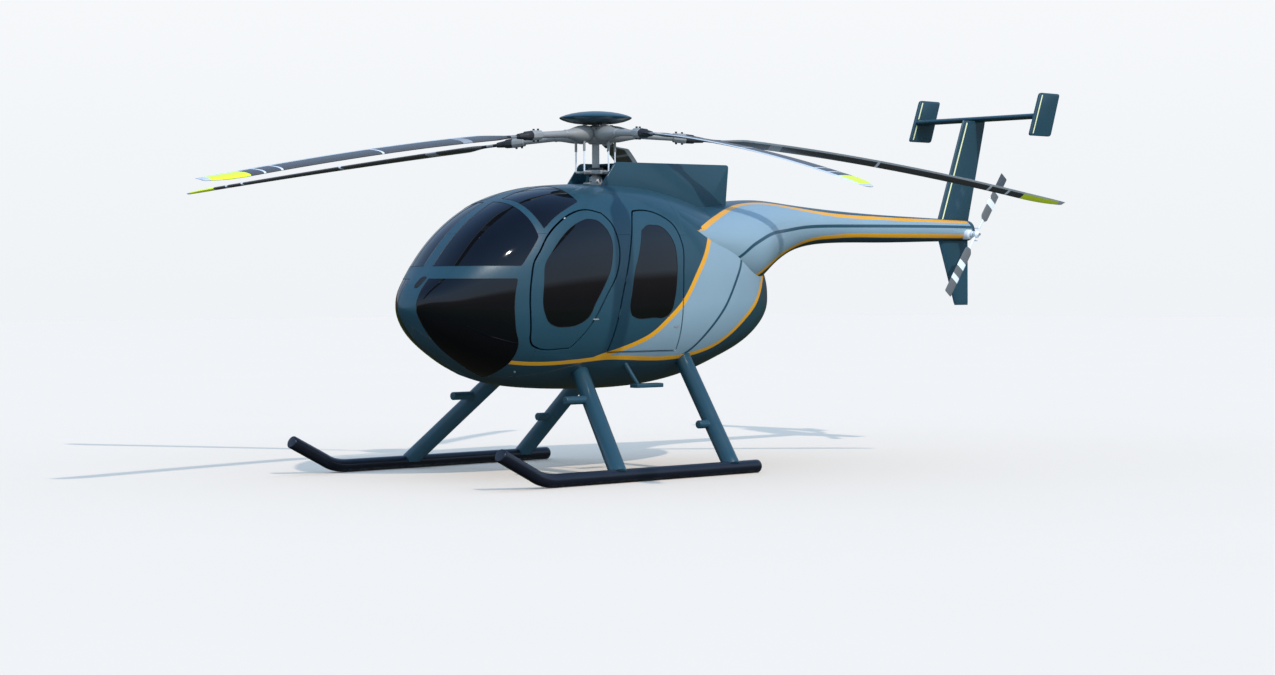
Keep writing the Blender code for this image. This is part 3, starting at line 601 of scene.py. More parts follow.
def smooth_loop(outline, spacing=0.006, corner=0.012, sharp=38):
    """A closed outline through its points: curved where it turns gently, filleted elsewhere."""
    points = np.array(outline)
    ahead = np.roll(points, -1, axis=0) - points
    length = np.linalg.norm(ahead, axis=1)
    way = ahead / length[:, None]
    back = np.roll(way, 1, axis=0)
    turning = np.degrees(np.arccos(np.clip((way * back).sum(axis=1), -1, 1)))
    mean = way * np.roll(length, 1)[:, None] + back * length[:, None]
    mean = unit(mean)
    leave = np.where((turning > sharp)[:, None], way, mean)
    arrive = np.where((turning > sharp)[:, None], back, mean)
    path = []
    for i in range(len(points)):
        j = (i + 1) % len(points)
        share = np.linspace(0, 1, max(2, ceil(length[i] / spacing)), endpoint=False)[:, None]
        path.append((2 * share ** 3 - 3 * share ** 2 + 1) * points[i]
                    + (share ** 3 - 2 * share ** 2 + share) * leave[i] * length[i]
                    + (3 * share ** 2 - 2 * share ** 3) * points[j]
                    + (share ** 3 - share ** 2) * arrive[j] * length[i])
    path = np.concatenate(path)
    for vertex in points[turning > sharp]:
        distance = np.linalg.norm(path - vertex, axis=1)
        inside = np.where(distance < corner)[0]
        if len(inside) < 2:
            continue
        at = np.argmin(distance)
        order = sorted((index - at + len(path) // 2) % len(path) for index in inside)
        order = [(index + at - len(path) // 2) % len(path) for index in order]
        first, last = path[order[0]].copy(), path[order[-1]].copy()
        for share, index in zip(np.linspace(0, 1, len(order)), order):
            path[index] = bend(first, vertex, last, share)
    return path


def resample(path, spacing, closed=True):
    """Points at an even spacing along a path."""
    if closed:
        path = np.concatenate([path, path[:1]])
    run = np.concatenate([[0], np.cumsum(np.linalg.norm(np.diff(path, axis=0), axis=1))])
    count = max(3, int(round(run[-1] / spacing)))
    places = np.linspace(0, run[-1], count + (0 if closed else 1), endpoint=not closed)
    return np.stack([np.interp(places, run, path[:, k]) for k in range(path.shape[1])], axis=-1)


def inside(polygon, points):
    """Which points lie within a closed polygon."""
    result = np.zeros(len(points), dtype=bool)
    x, y = points[:, 0], points[:, 1]
    for (ax, ay), (bx, by) in zip(polygon, np.roll(polygon, -1, axis=0)):
        if ay != by:
            crossing = (ay > y) != (by > y)
            result ^= crossing & (x < (bx - ax) * (y - ay) / (by - ay) + ax)
    return result


def on_skin(hull, outline, clear_of_centre):
    """A side outline as a loop on the layout plane, kept a distance from the centre plane."""
    path = smooth_loop(outline, 0.003)
    low, high, exists = hull.limits(path[:, 0], clear_of_centre)
    z = np.clip(path[:, 1], low, high)
    moved = np.abs(z - path[:, 1]) > 1e-9
    good = exists & (~moved | inside(path, np.stack([path[:, 0], z], axis=-1)))
    return hull.to_plane(path[good, 0], z[good])


hull = Hull()
SHELLS = ("nose_frame", "roof_shell", "belly_shell", "aft_shell")

# Panels cut from the skin: outline, its clearance from the centre plane
LOOPS = {
    "front_door": (FRONT_DOOR, 0.05),
    "front_door_window": (FRONT_WINDOW, 0.05),
    "rear_door": (REAR_DOOR, 0.05),
    "rear_door_window": (REAR_WINDOW, 0.05),
    "windscreen": (WINDSCREEN, POST_HALF_WIDTH),
    "chin_window": (CHIN_WINDOW, CHIN_HALF_WIDTH),
    "roof_window": (ROOF_WINDOW, ROOF_HALF_WIDTH),
}
DOORS = ("front_door", "rear_door")
# Joints between the fixed shells, as side-view paths
SHELL_JOINTS = [
    [(-1.90, HEADER_Z), (AFT_STATION, HEADER_Z)],
    [(AFT_STATION, 2.295), (AFT_STATION, HEADER_Z)],
    [(AFT_STATION, SILL_Z + 0.1), (AFT_STATION, 0.66)],
    [(-0.9, HEADER_Z), (-0.9, 1.6), (NOSE_STATION, 1.3), (NOSE_STATION, 0.66)],
    [(NOSE_STATION, SILL_Z), (AFT_STATION, SILL_Z)],
]
SKIN_SPACING = 0.017


def shell_of(station, z):
    """Which fixed shell a point of the skin belongs to."""
    if station > AFT_STATION or (station > 0.1 and SILL_Z < z < HEADER_Z):
        return "aft_shell"
    if z > HEADER_Z:
        return "roof_shell"
    if station < NOSE_STATION or (z > 1.6 and station < -0.9):
        return "nose_frame"
    if z < SILL_Z:
        return "belly_shell"
    if z > 1.3 and station < -0.9 and (z - 1.3) / 0.3 > (station - NOSE_STATION) / 0.3:
        return "nose_frame"
    return "door_pillar"


def lay_out_skin():
    """Triangles of the whole port skin, each with its panel's name, on the layout plane."""
    loops = {name: resample(on_skin(hull, *args), 0.008) for name, args in LOOPS.items()}
    points, edges = [], []

    def add(path, closed):
        """Keep a path's points and the edges between them."""
        start = len(points)
        points.extend(map(tuple, path))
        count = len(path)
        edges.extend((start + i, start + (i + 1) % count)
                     for i in range(count if closed else count - 1))

    length = hull.length[-1]
    turn = hull.turns
    rim = np.concatenate([np.stack([hull.length, hull.girth[:, -1]], axis=-1),
                          np.stack([hull.length, hull.girth[:, 0]], axis=-1)[-2:0:-1]])
    add(resample(rim, SKIN_SPACING * 0.85), True)
    rim_count = len(points)
    for loop in loops.values():
        add(loop, True)
    for joint in SHELL_JOINTS:
        path = resample(np.array(joint), 0.01, False)
        low, high, exists = hull.limits(path[:, 0], 0.0)
        on = exists & (path[:, 1] > low + 1e-4) & (path[:, 1] < high - 1e-4)
        path = path[on]
        flat = hull.to_plane(path[:, 0], path[:, 1])
        add(flat, False)
    fixed = np.array(points)
    row_height = SKIN_SPACING * 0.87
    low, high = fixed[:, 1].min(), fixed[:, 1].max()
    grid = []
    for row, v in enumerate(np.arange(low, high, row_height)):
        u = np.arange(0, length, SKIN_SPACING) + (row % 2) * SKIN_SPACING / 2
        grid.append(np.stack([u, np.full_like(u, v)], axis=-1))
    grid = np.concatenate(grid)
    grid = grid[inside(fixed[:rim_count], grid)]
    cell, cells = 0.02, {}
    for x, y in fixed:
        cells.setdefault((int(x // cell), int(y // cell)), []).append((x, y))

    def free(x, y):
        """Whether a place of the grid keeps its distance from every edge's points."""
        i, j = int(x // cell), int(y // cell)
        return all((px - x) ** 2 + (py - y) ** 2 >= (0.72 * SKIN_SPACING) ** 2
                   for a in (i - 1, i, i + 1) for b in (j - 1, j, j + 1)
                   for px, py in cells.get((a, b), ()))

    points.extend((x, y) for x, y in grid if free(x, y))
    verts, _, faces, _, _, _ = delaunay_2d_cdt([Vector(point) for point in points], edges, [],
                                               0, 1e-6)
    flat = np.array([tuple(vert) for vert in verts])
    faces = np.array(faces)
    centres = flat[faces].mean(axis=1)
    keep = inside(fixed[:rim_count], centres)
    faces, centres = faces[keep], centres[keep]
    places, _ = hull.surface(*hull.off_plane(centres))
    labels = np.array([shell_of(y - BODY_Y, z) for _, y, z in places], dtype=object)
    for name in LOOPS:
        labels[inside(loops[name], centres)] = name
    return flat, faces, labels


def whole_skin():
    """The skin of both sides: points, normals, triangles and their panels' names."""
    flat, faces, labels = lay_out_skin()
    turn, around = hull.off_plane(flat)
    sides = np.sort(np.concatenate([faces[:, [0, 1]], faces[:, [1, 2]], faces[:, [2, 0]]]))
    sides, uses = np.unique(sides, axis=0, return_counts=True)
    rim = np.unique(sides[uses == 1])
    around[rim] = np.where(flat[rim, 1] < 0, -pi / 2, pi / 2)
    points, normals = hull.surface(turn, around)
    for tip, way in ((flat[:, 0].argmin(), -1), (flat[:, 0].argmax(), 1)):
        normals[tip] = (0, way, 0)
    a, b, c = (points[faces[:, k]] for k in range(3))
    outward = (np.cross(b - a, c - a) * normals[faces[:, 0]]).sum(axis=1) > 0
    faces = np.where(outward[:, None], faces, faces[:, ::-1])
    middle = np.zeros(len(points), dtype=bool)
    middle[rim] = True
    points[middle, 0] = 0
    normals[middle, 0] = 0
    twin = np.arange(len(points))
    twin[~middle] = len(points) + np.arange((~middle).sum())
    mirror = np.array((-1, 1, 1))
    points = np.concatenate([points, points[~middle] * mirror])
    normals = np.concatenate([normals, normals[~middle] * mirror])
    normals = unit(normals)
    names = [label if label in SHELLS else label + side for side in ("_left", "_right")
             for label in labels]
    faces = np.concatenate([faces, twin[faces][:, ::-1]])
    return points, normals, faces, np.array(names, dtype=object)


def door_of(label):
    """The door that a panel opens with, or nothing."""
    for name in DOORS:
        if label.startswith(name):
            return name + label[label.rindex("_"):]
    return None


def edge_clearance(label, other):
    """How far a panel stays back from its border with another."""
    return SEAM / 2 if door_of(label) != door_of(other) else JOINT / 2


def panel(name, label, skin, sink=0.0, depth=WALL, materials=(), attributes=None):
    """A skin panel with rounded edges and its inner face, from the triangles of one label."""
    points, normals, faces, labels = skin
    own = faces[labels == label]
    edge_label = {}
    for (a, b, c), other in zip(faces, labels):
        edge_label[a, b] = edge_label[b, c] = edge_label[c, a] = other
    used, own = np.unique(own, return_inverse=True)
    own = own.reshape(-1, 3)
    place, normal = points[used], normals[used]
    place = place - normal * sink
    following, clearance = {}, {}
    edges = {(a, b) for face in own for a, b in zip(face, np.roll(face, -1))}
    for a, b in edges:
        if (b, a) not in edges:
            following[a] = b
            gap = edge_clearance(label, edge_label[used[b], used[a]])
            clearance[a] = max(clearance.get(a, 0), gap)
            clearance[b] = max(clearance.get(b, 0), gap)
    rings = []
    loose = set(following)
    while loose:
        ring = [loose.pop()]
        while following[ring[-1]] in loose:
            ring.append(following[ring[-1]])
            loose.remove(ring[-1])
        rings.append(ring)
    count = len(place)
    inward = np.zeros_like(place)
    for ring in rings:
        way = unit(np.roll(place[ring], -1, axis=0) - place[ring], 1e-12)
        ahead_in = np.cross(normal[ring], way)
        back_in = np.cross(normal[ring], np.roll(way, 1, axis=0))
        mean = unit(ahead_in + back_in, 1e-12)
        share = np.maximum((mean * ahead_in).sum(axis=1), 0.5)
        inward[ring] = mean / share[:, None]
    gap = np.array([clearance.get(i, 0) for i in range(count)])[:, None]
    # Rounded edge: share of the lip inwards, depth below the paint, how far the normal leans
    steps = [(1.0, 0.0, 0.0), (0.3, 0.3 * LIP, 0.7), (0.0, LIP, 1.0), (0.0, depth - LIP, 1.0),
             (0.3, depth - 0.3 * LIP, 1.3), (1.0, depth, 2.0)]
    outer = place + inward * (gap + LIP)
    verts = [outer, outer - normal * depth]
    normal_list = [normal, -normal]
    polygons = [own, own[:, ::-1] + count]
    base = 2 * count
    for ring in rings:
        ring = np.array(ring)
        size = len(ring)
        previous = ring
        for step, (lip, down, lean) in enumerate(steps[1:], 1):
            if step < len(steps) - 1:
                verts.append(place[ring] + inward[ring] * (gap[ring] + lip * LIP)
                             - normal[ring] * down)
                normal_list.append(unit((1 - lean) * normal[ring] - min(lean, 2 - lean)
                                        * unit(inward[ring], 1e-12)))
                current = base + np.arange(size)
                base += size
            else:
                current = ring + count
            polygons.append(np.stack([previous, current, np.roll(current, -1),
                                      np.roll(previous, -1)], axis=-1))
            previous = current
    verts = np.concatenate(verts)
    mesh = bpy.data.meshes.new(name)
    polygon_list = [tuple(int(i) for i in polygon) for group in polygons for polygon in group]
    mesh.from_pydata([tuple(vert) for vert in verts], [], polygon_list)
    for material in materials:
        mesh.materials.append(material)
    inner = np.zeros(len(polygon_list), dtype=np.int32)
    if len(materials) > 1:
        inner[len(own):2 * len(own)] = 1
    mesh.polygons.foreach_set("material_index", inner)
    mesh.polygons.foreach_set("use_smooth", np.ones(len(polygon_list), dtype=bool))
    mesh.normals_split_custom_set_from_vertices(
        [tuple(vector) for vector in np.concatenate(normal_list)])
    if attributes:
        mirrored = np.abs(verts * (1, 0, 0)) + verts * (0, 1, 1)
        for attribute, line in attributes.items():
            add_attribute(mesh, attribute, line_distance(mirrored, line, hull_centre))
    return in_scene(name, mesh)


def hull_centre(points):
    """Points on the body's axis next to the given ones, to tell outwards from inwards."""
    return np.stack([np.zeros(len(points)), points[:, 1], np.full(len(points), 1.35)], axis=-1)


def add_attribute(mesh, name, values):
    """Keep one number for each point of a mesh."""
    layer = mesh.attributes.new(name, "FLOAT", "POINT")
    layer.data.foreach_set("value", np.asarray(values, dtype=np.float32))


def fine_line(line):
    """A paint line's points, one every few millimetres."""
    places = np.array(line) + (0, BODY_Y, 0)
    run = np.concatenate([[0], np.cumsum(np.linalg.norm(np.diff(places, axis=0), axis=1))])
    curves = [spline(run, places[:, k]) for k in range(3)]
    at = np.linspace(0, run[-1], int(run[-1] / 0.004))
    return np.stack([curve(at)[0] for curve in curves], axis=-1)


def line_distance(points, line, centre_of):
    """Distance from a paint line, positive to its left as seen from outside."""
    way = unit(np.gradient(line, axis=0))
    outward = line - centre_of(line)
    outward -= way * (way * outward).sum(axis=1)[:, None]
    left = np.cross(unit(outward), way)
    result = np.empty(len(points))
    for start in range(0, len(points), 4000):
        part = points[start:start + 4000]
        square = ((part[:, None, :] - line[None, ::4, :]) ** 2).sum(axis=2)
        near = square.argmin(axis=1) * 4
        best = near
        least = np.full(len(part), np.inf)
        for shift in range(-4, 5):
            index = np.clip(near + shift, 0, len(line) - 1)
            distance = ((part - line[index]) ** 2).sum(axis=1)
            best = np.where(distance < least, index, best)
            least = np.minimum(distance, least)
        offset = part - line[best]
        side = (offset * left[best]).sum(axis=1)
        ending = (best == 0) | (best == len(line) - 1)
        length = np.where(ending, np.linalg.norm(offset, axis=1), np.abs(side))
        result[start:start + 4000] = np.sign(side) * length
    return result


def ring_faces(rows, count):
    """Quads between rings of points, each ring closed."""
    row, column = np.meshgrid(np.arange(rows - 1), np.arange(count), indexing="ij")
    after = (column + 1) % count
    return np.stack([row * count + column, row * count + after,
                     (row + 1) * count + after, (row + 1) * count + column],
                    axis=-1).reshape(-1, 4)


def new_object(name, points, faces, material=None, smooth_angle=40):
    """A closed piece with its faces turned outwards and its gentle edges shaded smooth."""
    mesh = bpy.data.meshes.new(name)
    mesh.from_pydata([tuple(point) for point in points], [],
                     [tuple(int(i) for i in face) for face in faces])
    bm = bmesh.new()
    bm.from_mesh(mesh)
    bmesh.ops.remove_doubles(bm, verts=bm.verts, dist=1e-6)
    bmesh.ops.dissolve_degenerate(bm, edges=bm.edges, dist=1e-6)
    bmesh.ops.recalc_face_normals(bm, faces=bm.faces)
    bm.to_mesh(mesh)
    bm.free()
    if material:
        mesh.materials.append(material)
    return shade(in_scene(name, mesh), smooth_angle)


def shade(obj, smooth_angle=40):
    """Smooth shading, with the edges sharper than an angle kept crisp."""
    obj.data.shade_smooth()
    obj.data.set_sharp_from_angle(angle=radians(smooth_angle))
    return obj


def loft(name, rings, material=None, smooth_angle=40):
    """A solid through rings of points, closed at both ends."""
    rings = np.array(rings)
    rows, count, _ = rings.shape
    faces = [tuple(face) for face in ring_faces(rows, count)]
    faces += [tuple(range(count)), tuple(range((rows - 1) * count, rows * count))]
    return new_object(name, rings.reshape(-1, 3), faces, material, smooth_angle)


def prism(name, outline, x_from, x_to, material=None):
    """A side outline of stations and heights, extruded across the machine."""
    return loft(name, [[(x, BODY_Y + station, z) for station, z in outline]
                       for x in (x_from, x_to)], material)


def turned(name, profile, centre, axis=(0, 0, 1), sides=48, material=None, smooth_angle=40):
    """A profile of radius and height, turned about an axis through a centre."""
    axis = Vector(axis).normalized()
    across = axis.orthogonal().normalized()
    other = axis.cross(across)
    rings = []
    for radius, height in profile:
        rings.append([Vector(centre) + axis * height + radius * (cos(a) * across + sin(a) * other)
                      for a in circle(sides)])
    return loft(name, rings, material, smooth_angle)


def rounded_profile(radius, low, high, lip, steps=4):
    """Profile of a plain drum whose rims are rounded."""
    turns = np.linspace(0, pi / 2, steps)
    foot = [(radius - lip * (1 - sin(a)), low + lip * (1 - cos(a))) for a in turns]
    head = [(radius - lip * (1 - cos(a)), high - lip * (1 - sin(a))) for a in turns]
    return foot + head


def swept(name, path, radii, sides=24, material=None, flatten=1.0, smooth_angle=40):
    """A tube along points with a radius at each, flattened across if asked."""
    path = np.array(path, dtype=float)
    way = unit(np.gradient(path, axis=0))
    upright = np.array((0, 0, 1.0)) if abs(way[0, 2]) < 0.9 else np.array((0, 1.0, 0))
    rings = []
    for point, along, radius in zip(path, way, radii):
        across = unit(np.cross(along, upright))
        upward = np.cross(across, along)
        turns = circle(sides)[:, None]
        rings.append(point + radius * (np.cos(turns) * across
                                       + flatten * np.sin(turns) * upward))
    return loft(name, rings, material, smooth_angle)


def rod(name, start, end, radius, lip=0.003, sides=20, material=None):
    """A round bar between two points with rounded ends."""
    start, end = Vector(start), Vector(end)
    length = (end - start).length
    return turned(name, rounded_profile(radius, 0, length, lip), start, end - start, sides,
                  material)


def rounded(outline, radius, steps=6):
    """A closed outline with each corner rounded off."""
    outline = np.array(outline, dtype=float)
    path = []
    for before, corner, after in zip(np.roll(outline, 1, axis=0), outline,
                                     np.roll(outline, -1, axis=0)):
        reach = min(radius, np.linalg.norm(before - corner) * 0.45,
                    np.linalg.norm(after - corner) * 0.45)
        start, end = [corner + unit(other - corner) * reach for other in (before, after)]
        path += [bend(start, corner, end, share) for share in np.linspace(0, 1, steps)]
    return np.array(path)


def away_from(loop):
    """The outward directions along a closed flat loop, whichever way it runs."""
    way = np.roll(loop, -1, axis=0) - np.roll(loop, 1, axis=0)
    area = (loop[:, 0] * np.roll(loop[:, 1], -1) - np.roll(loop[:, 0], -1) * loop[:, 1]).sum()
    return unit(np.stack([way[:, 1], -way[:, 0]], axis=-1), 1e-12) * np.sign(area)


def slab(name, outline, x_from, x_to, lip, corner=0.0, material=None, steps=4):
    """A side outline made solid across the machine, with rounded corners and rims."""
    path = rounded(outline, corner) if corner else np.array(outline, dtype=float)
    normal = away_from(path)
    side = np.sign(x_to - x_from)
    rings = []
    for turn in np.linspace(0, pi / 2, steps):
        rings.append((x_from + side * lip * (1 - cos(turn)), lip * (1 - sin(turn))))
    rings += [(x_from + x_to - x, inset) for x, inset in reversed(rings)]
    return loft(name, [[(x, BODY_Y + s, z) for s, z in path - normal * inset]
                       for x, inset in rings], material)


def hoop(name, path, facing, radius, sides=8, material=None):
    """A closed tube along a loop of points, with the outward direction at each."""
    path, facing = np.array(path), np.array(facing)
    way = unit(np.roll(path, -1, axis=0) - np.roll(path, 1, axis=0))
    across = unit(np.cross(way, facing))
    upward = np.cross(across, way)
    turns = circle(sides)[None, :, None]
    rings = path[:, None] + radius * (np.cos(turns) * across[:, None]
                                      + np.sin(turns) * upward[:, None])
    rings = np.concatenate([rings, rings[:1]])
    return new_object(name, rings.reshape(-1, 3), ring_faces(len(rings), sides), material)


def track(panel_name, spacing, shift=0.0, rise=0.0):
    """Points and normals on the port skin along a panel's edge, shifted outwards from it."""
    flat = resample(on_skin(hull, *LOOPS[panel_name]), spacing)
    points, normals = hull.surface(*hull.off_plane(flat + away_from(flat) * shift))
    return points + normals * rise, normals


def geometry_tree(name, **sizes):
    """A Geometry Nodes tree with named inputs: the wires of its inputs and their identifiers."""
    kinds = {float: "NodeSocketFloat", int: "NodeSocketInt", tuple: "NodeSocketVector",
             type(None): "NodeSocketGeometry"}
    tree = bpy.data.node_groups.new(name, "GeometryNodeTree")
    identifiers = {}
    for label, value in sizes.items():
        socket = tree.interface.new_socket(label, in_out="INPUT", socket_type=kinds[type(value)])
        if value is not None:
            socket.default_value = value
        identifiers[label] = socket.identifier
    tree.interface.new_socket("Result", in_out="OUTPUT", socket_type="NodeSocketGeometry")
    entry = tree.nodes.new("NodeGroupInput")
    return tree, [Wire(tree, entry.outputs[label]) for label in sizes], identifiers


def end_tree(result, material):
    """Close a tree: real geometry, its material, the group's output."""
    whole = result.node("GeometryNodeRealizeInstances", {}, {0: result})
    finished = result.node("GeometryNodeSetMaterial", {}, {"Geometry": whole,
                                                           "Material": material})
    plug(result.tree, result.tree.nodes.new("NodeGroupOutput").inputs[0], finished)


def screw_nodes(material):
    """A low bevelled head on every point, square to the surface there."""
    tree, (points, radius, height), sockets = geometry_tree(
        "screw_heads", Points=None, Radius=0.004, Height=0.001)
    head = points.node("GeometryNodeMeshCone", {}, {
        "Vertices": 10, "Radius Top": radius * 0.72, "Radius Bottom": radius,
        "Depth": height})
    facing = points.node("GeometryNodeInputNamedAttribute", {"data_type": "FLOAT_VECTOR"},
                         {"Name": "facing"})
    turn = points.node("FunctionNodeAlignRotationToVector", {"axis": "Z"}, {"Vector": facing})
    end_tree(points.node("GeometryNodeInstanceOnPoints", {}, {
        "Points": points, "Instance": head, "Rotation": turn}), material)
    return tree, sockets


def row_nodes(material):
    """A row of small bars, for treads and grilles."""
    tree, (count, start, step, size), sockets = geometry_tree(
        "bar_row", Count=10, Start=(0.0, 0.0, 0.0), Step=(0.0, 0.02, 0.0),
        Size=(0.07, 0.006, 0.002))
    line = count.node("GeometryNodeMeshLine", {}, {
        "Count": count, "Start Location": start, "Offset": step})
    bar = count.node("GeometryNodeMeshCube", {}, {"Size": size})
    end_tree(count.node("GeometryNodeInstanceOnPoints", {}, {"Points": line, "Instance": bar}),
             material)
    return tree, sockets


def dial_nodes(material):
    """The marks round a dial, on its own plane."""
    tree, (radius, count), sockets = geometry_tree("dial_marks", Radius=0.026, Count=24)
    ring = radius.node("GeometryNodeMeshCircle", {}, {"Vertices": count, "Radius": radius})
    mark = radius.node("GeometryNodeMeshCube", {}, {"Size": (0.0011, 0.0042, 0.0006)})
    place = radius.node("GeometryNodeInputPosition")
    turn = radius.node("FunctionNodeAlignRotationToVector", {"axis": "Y"}, {"Vector": place})
    end_tree(radius.node("GeometryNodeInstanceOnPoints", {}, {
        "Points": ring, "Instance": mark, "Rotation": turn}), material)
    return tree, sockets


SCREWS = screw_nodes(paint)


def screws(name, body, places, facing, radius=0.0036, height=0.0009):
    """Flush screws at these places of the skin, square to it."""
    mesh = bpy.data.meshes.new(name)
    mesh.from_pydata([tuple(place) for place in places], [], [])
    layer = mesh.attributes.new("facing", "FLOAT_VECTOR", "POINT")
    layer.data.foreach_set("vector", np.asarray(facing, dtype=np.float32).ravel())
    tree, sockets = SCREWS
    piece = from_nodes(name, tree, {sockets["Radius"]: radius, sockets["Height"]: height}, mesh)
    return dress(piece, body, "satin_metal")


def combine(target, tool, operation):
    """An exact Boolean, which uses the tool up."""
    modifier = target.modifiers.new(operation.lower(), "BOOLEAN")
    modifier.operation = operation
    modifier.solver = "EXACT"
    modifier.object = tool
    return plain_mesh(target, [tool])


def plain_mesh(obj, used_up=()):
    """Give an object the mesh that its modifiers make, and take them off."""
    bpy.context.view_layer.update()
    mesh = bpy.data.meshes.new_from_object(obj.evaluated_get(
        bpy.context.evaluated_depsgraph_get()))
    obj.modifiers.clear()
    obj.data = mesh
    mesh.name = obj.name
    for tool in used_up:
        bpy.data.objects.remove(tool, do_unlink=True)
    return obj


def bevelled(obj, width, segments=3, angle=30):
    """Round off the edges that are sharper than an angle."""
    modifier = obj.modifiers.new("rounded", "BEVEL")
    modifier.width = width
    modifier.segments = segments
    modifier.limit_method = "ANGLE"
    modifier.angle_limit = radians(angle)
    return shade(plain_mesh(obj))


def joined(name, pieces):
    """One object from several, at the origin."""
    bm = bmesh.new()
    materials = []
    for piece in pieces:
        for material in piece.data.materials:
            if material not in materials:
                materials.append(material)
    mesh = bpy.data.meshes.new(name)
    for material in materials:
        mesh.materials.append(material)
    for piece in pieces:
        start = len(bm.faces)
        bm.from_mesh(piece.data)
        bm.faces.ensure_lookup_table()
        own = list(piece.data.materials)
        for face in bm.faces[start:]:
            face.material_index = materials.index(own[face.material_index]) if own else 0
    bm.to_mesh(mesh)
    bm.free()
    for piece in pieces:
        bpy.data.objects.remove(piece, do_unlink=True)
    return shade(in_scene(name, mesh))


def mirrored(obj, name):
    """The same piece on the other side of the machine."""
    mesh = obj.data.copy()
    mesh.transform(Matrix.Scale(-1, 4, (1, 0, 0)))
    mesh.flip_normals()
    return in_scene(name, mesh)


def dress(obj, body, slot, *nodes):
    """Let a piece ride on its body and hide the imported solids it stands for; its material slot
    is not used.
    """
    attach(obj, body)
    if nodes:
        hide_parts(*nodes)
    return obj


def fuselage():
    """Shells, doors and panes, each in place of its own solid."""
    skin = whole_skin()
    painted = {"materials": (striped_paint, lining), "attributes": {
        "low_line": fine_line(LOW_LINE), "curve_line": fine_line(CURVE_LINE)[::-1],
        "pin_line": fine_line(PIN_LINE)}}
    clear = {"sink": PANE_SINK, "depth": GLASS, "materials": (glass,)}
    for shell in SHELLS + ("door_pillar_left", "door_pillar_right"):
        dress(panel(shell + "_skin", shell, skin, **painted), "airframe", "blue_paint", shell)
    for side in ("_left", "_right"):
        for door in DOORS:
            body, window = door + side, door + "_window" + side
            dress(panel(door + "_panel" + side, body, skin, **painted), body, "blue_paint", body)
            dress(panel(door + "_pane" + side, window, skin, **clear), body, "tinted_glass",
                  window)
        for window in ("windscreen", "chin_window", "roof_window"):
            dress(panel(window + "_pane" + side, window + side, skin, **clear), "airframe",
                  "tinted_glass", window + side)


def hull_solid(distance):
    """The closed fuselage form, moved outwards by a distance."""
    turn, around = np.meshgrid(np.linspace(0.012, pi - 0.012, 110),
                               np.linspace(-pi / 2, pi / 2, 49), indexing="ij")
    points, normals = hull.surface(turn, around)
    points = points + normals * distance
    rings = np.concatenate([points, (points * (-1, 1, 1))[:, -2:0:-1]], axis=1)
    return loft("hull_form", rings)


def boom_rings(distance=0.0, count=96, spacing=0.016):
    """Rings of the tail boom's outer form."""
    stations = BOOM[:, 0]
    curves = [spline(stations, column) for column in BOOM[:, 1:].T]
    lip = 0.04
    rim = stations[-1] - lip
    at = np.concatenate([np.arange(stations[0], rim, spacing),
                         stations[-1] - lip * (1 - np.sin(np.linspace(0, pi / 2, 8)))])
    past = np.clip(1 - ((at - stations[-1] + lip) / lip) ** 2, 0, 1)
    shrink = np.where(at < rim, 0, lip * (1 - np.sqrt(past)))
    centre, height, width = [curve(at)[0] for curve in curves]
    turns = circle(count)
    height = height + distance - shrink
    width = width + distance - shrink
    return np.stack([width[:, None] * np.cos(turns),
                     np.repeat(BODY_Y + at[:, None], count, axis=1),
                     centre[:, None] + height[:, None] * np.sin(turns)], axis=-1)


def boom_centre(points):
    """Points on the boom's axis next to the given ones."""
    centre = np.interp(points[:, 1] - BODY_Y, BOOM[:, 0], BOOM[:, 1])
    return np.stack([np.zeros(len(points)), points[:, 1], centre], axis=-1)


def mesh_points(mesh):
    """A mesh's points as rows of x, y and z."""
    points = np.empty(len(mesh.vertices) * 3)
    mesh.vertices.foreach_get("co", points)
    return points.reshape(-1, 3)


def tail_boom():
    """The tapered boom, cut where it meets the fuselage, with its paint lines."""
    boom = combine(loft("tail_boom_skin", boom_rings(), striped_paint), hull_solid(CUT_IN),
                   "DIFFERENCE")
    points = mesh_points(boom.data)
    points[:, 0] = np.abs(points[:, 0])
    for name, line in (("low_line", fine_line(BOOM_LOW_LINE)),
                       ("curve_line", fine_line(BOOM_TOP_LINE)[::-1]),
                       ("pin_line", fine_line(BOOM_PIN_LINE))):
        add_attribute(boom.data, name, line_distance(points, line, boom_centre))
    dress(shade(boom), "airframe", "blue_paint", "tail_boom")


# Fairing: half width, then the side outlines of its outside and of its hollow
FAIRING_HALF_WIDTH = 0.218
FAIRING_OUTSIDE = [(-0.19, 2.28), (-0.26, 2.18), (1.28, 1.90), (1.286, 2.209), (1.319, 2.513),
                   (-0.012, 2.500)]
FAIRING_INSIDE = [(-0.60, 2.00), (1.25, 1.80), (1.262, 2.209), (1.295, 2.490), (0.17, 2.478),
                  (0.17, 2.80), (-0.60, 2.80)]


def rotor_fairing():
    """The tall cowl behind the mast, open to the front and hollowed out inside."""
    half, wall = FAIRING_HALF_WIDTH, 0.018
    cowl = slab("rotor_fairing_skin", FAIRING_OUTSIDE, -half, half, 0.006, 0.032, paint)
    combine(cowl, slab("hollow", FAIRING_INSIDE, wall - half, half - wall, 0.006, 0.03,
                       cowl_inner), "DIFFERENCE")
    combine(cowl, hull_solid(-0.003), "DIFFERENCE")
    combine(cowl, loft("boom_form", boom_rings(-0.003, 48, 0.05)), "DIFFERENCE")
    dress(shade(cowl), "airframe", "blue_paint", "rotor_fairing")


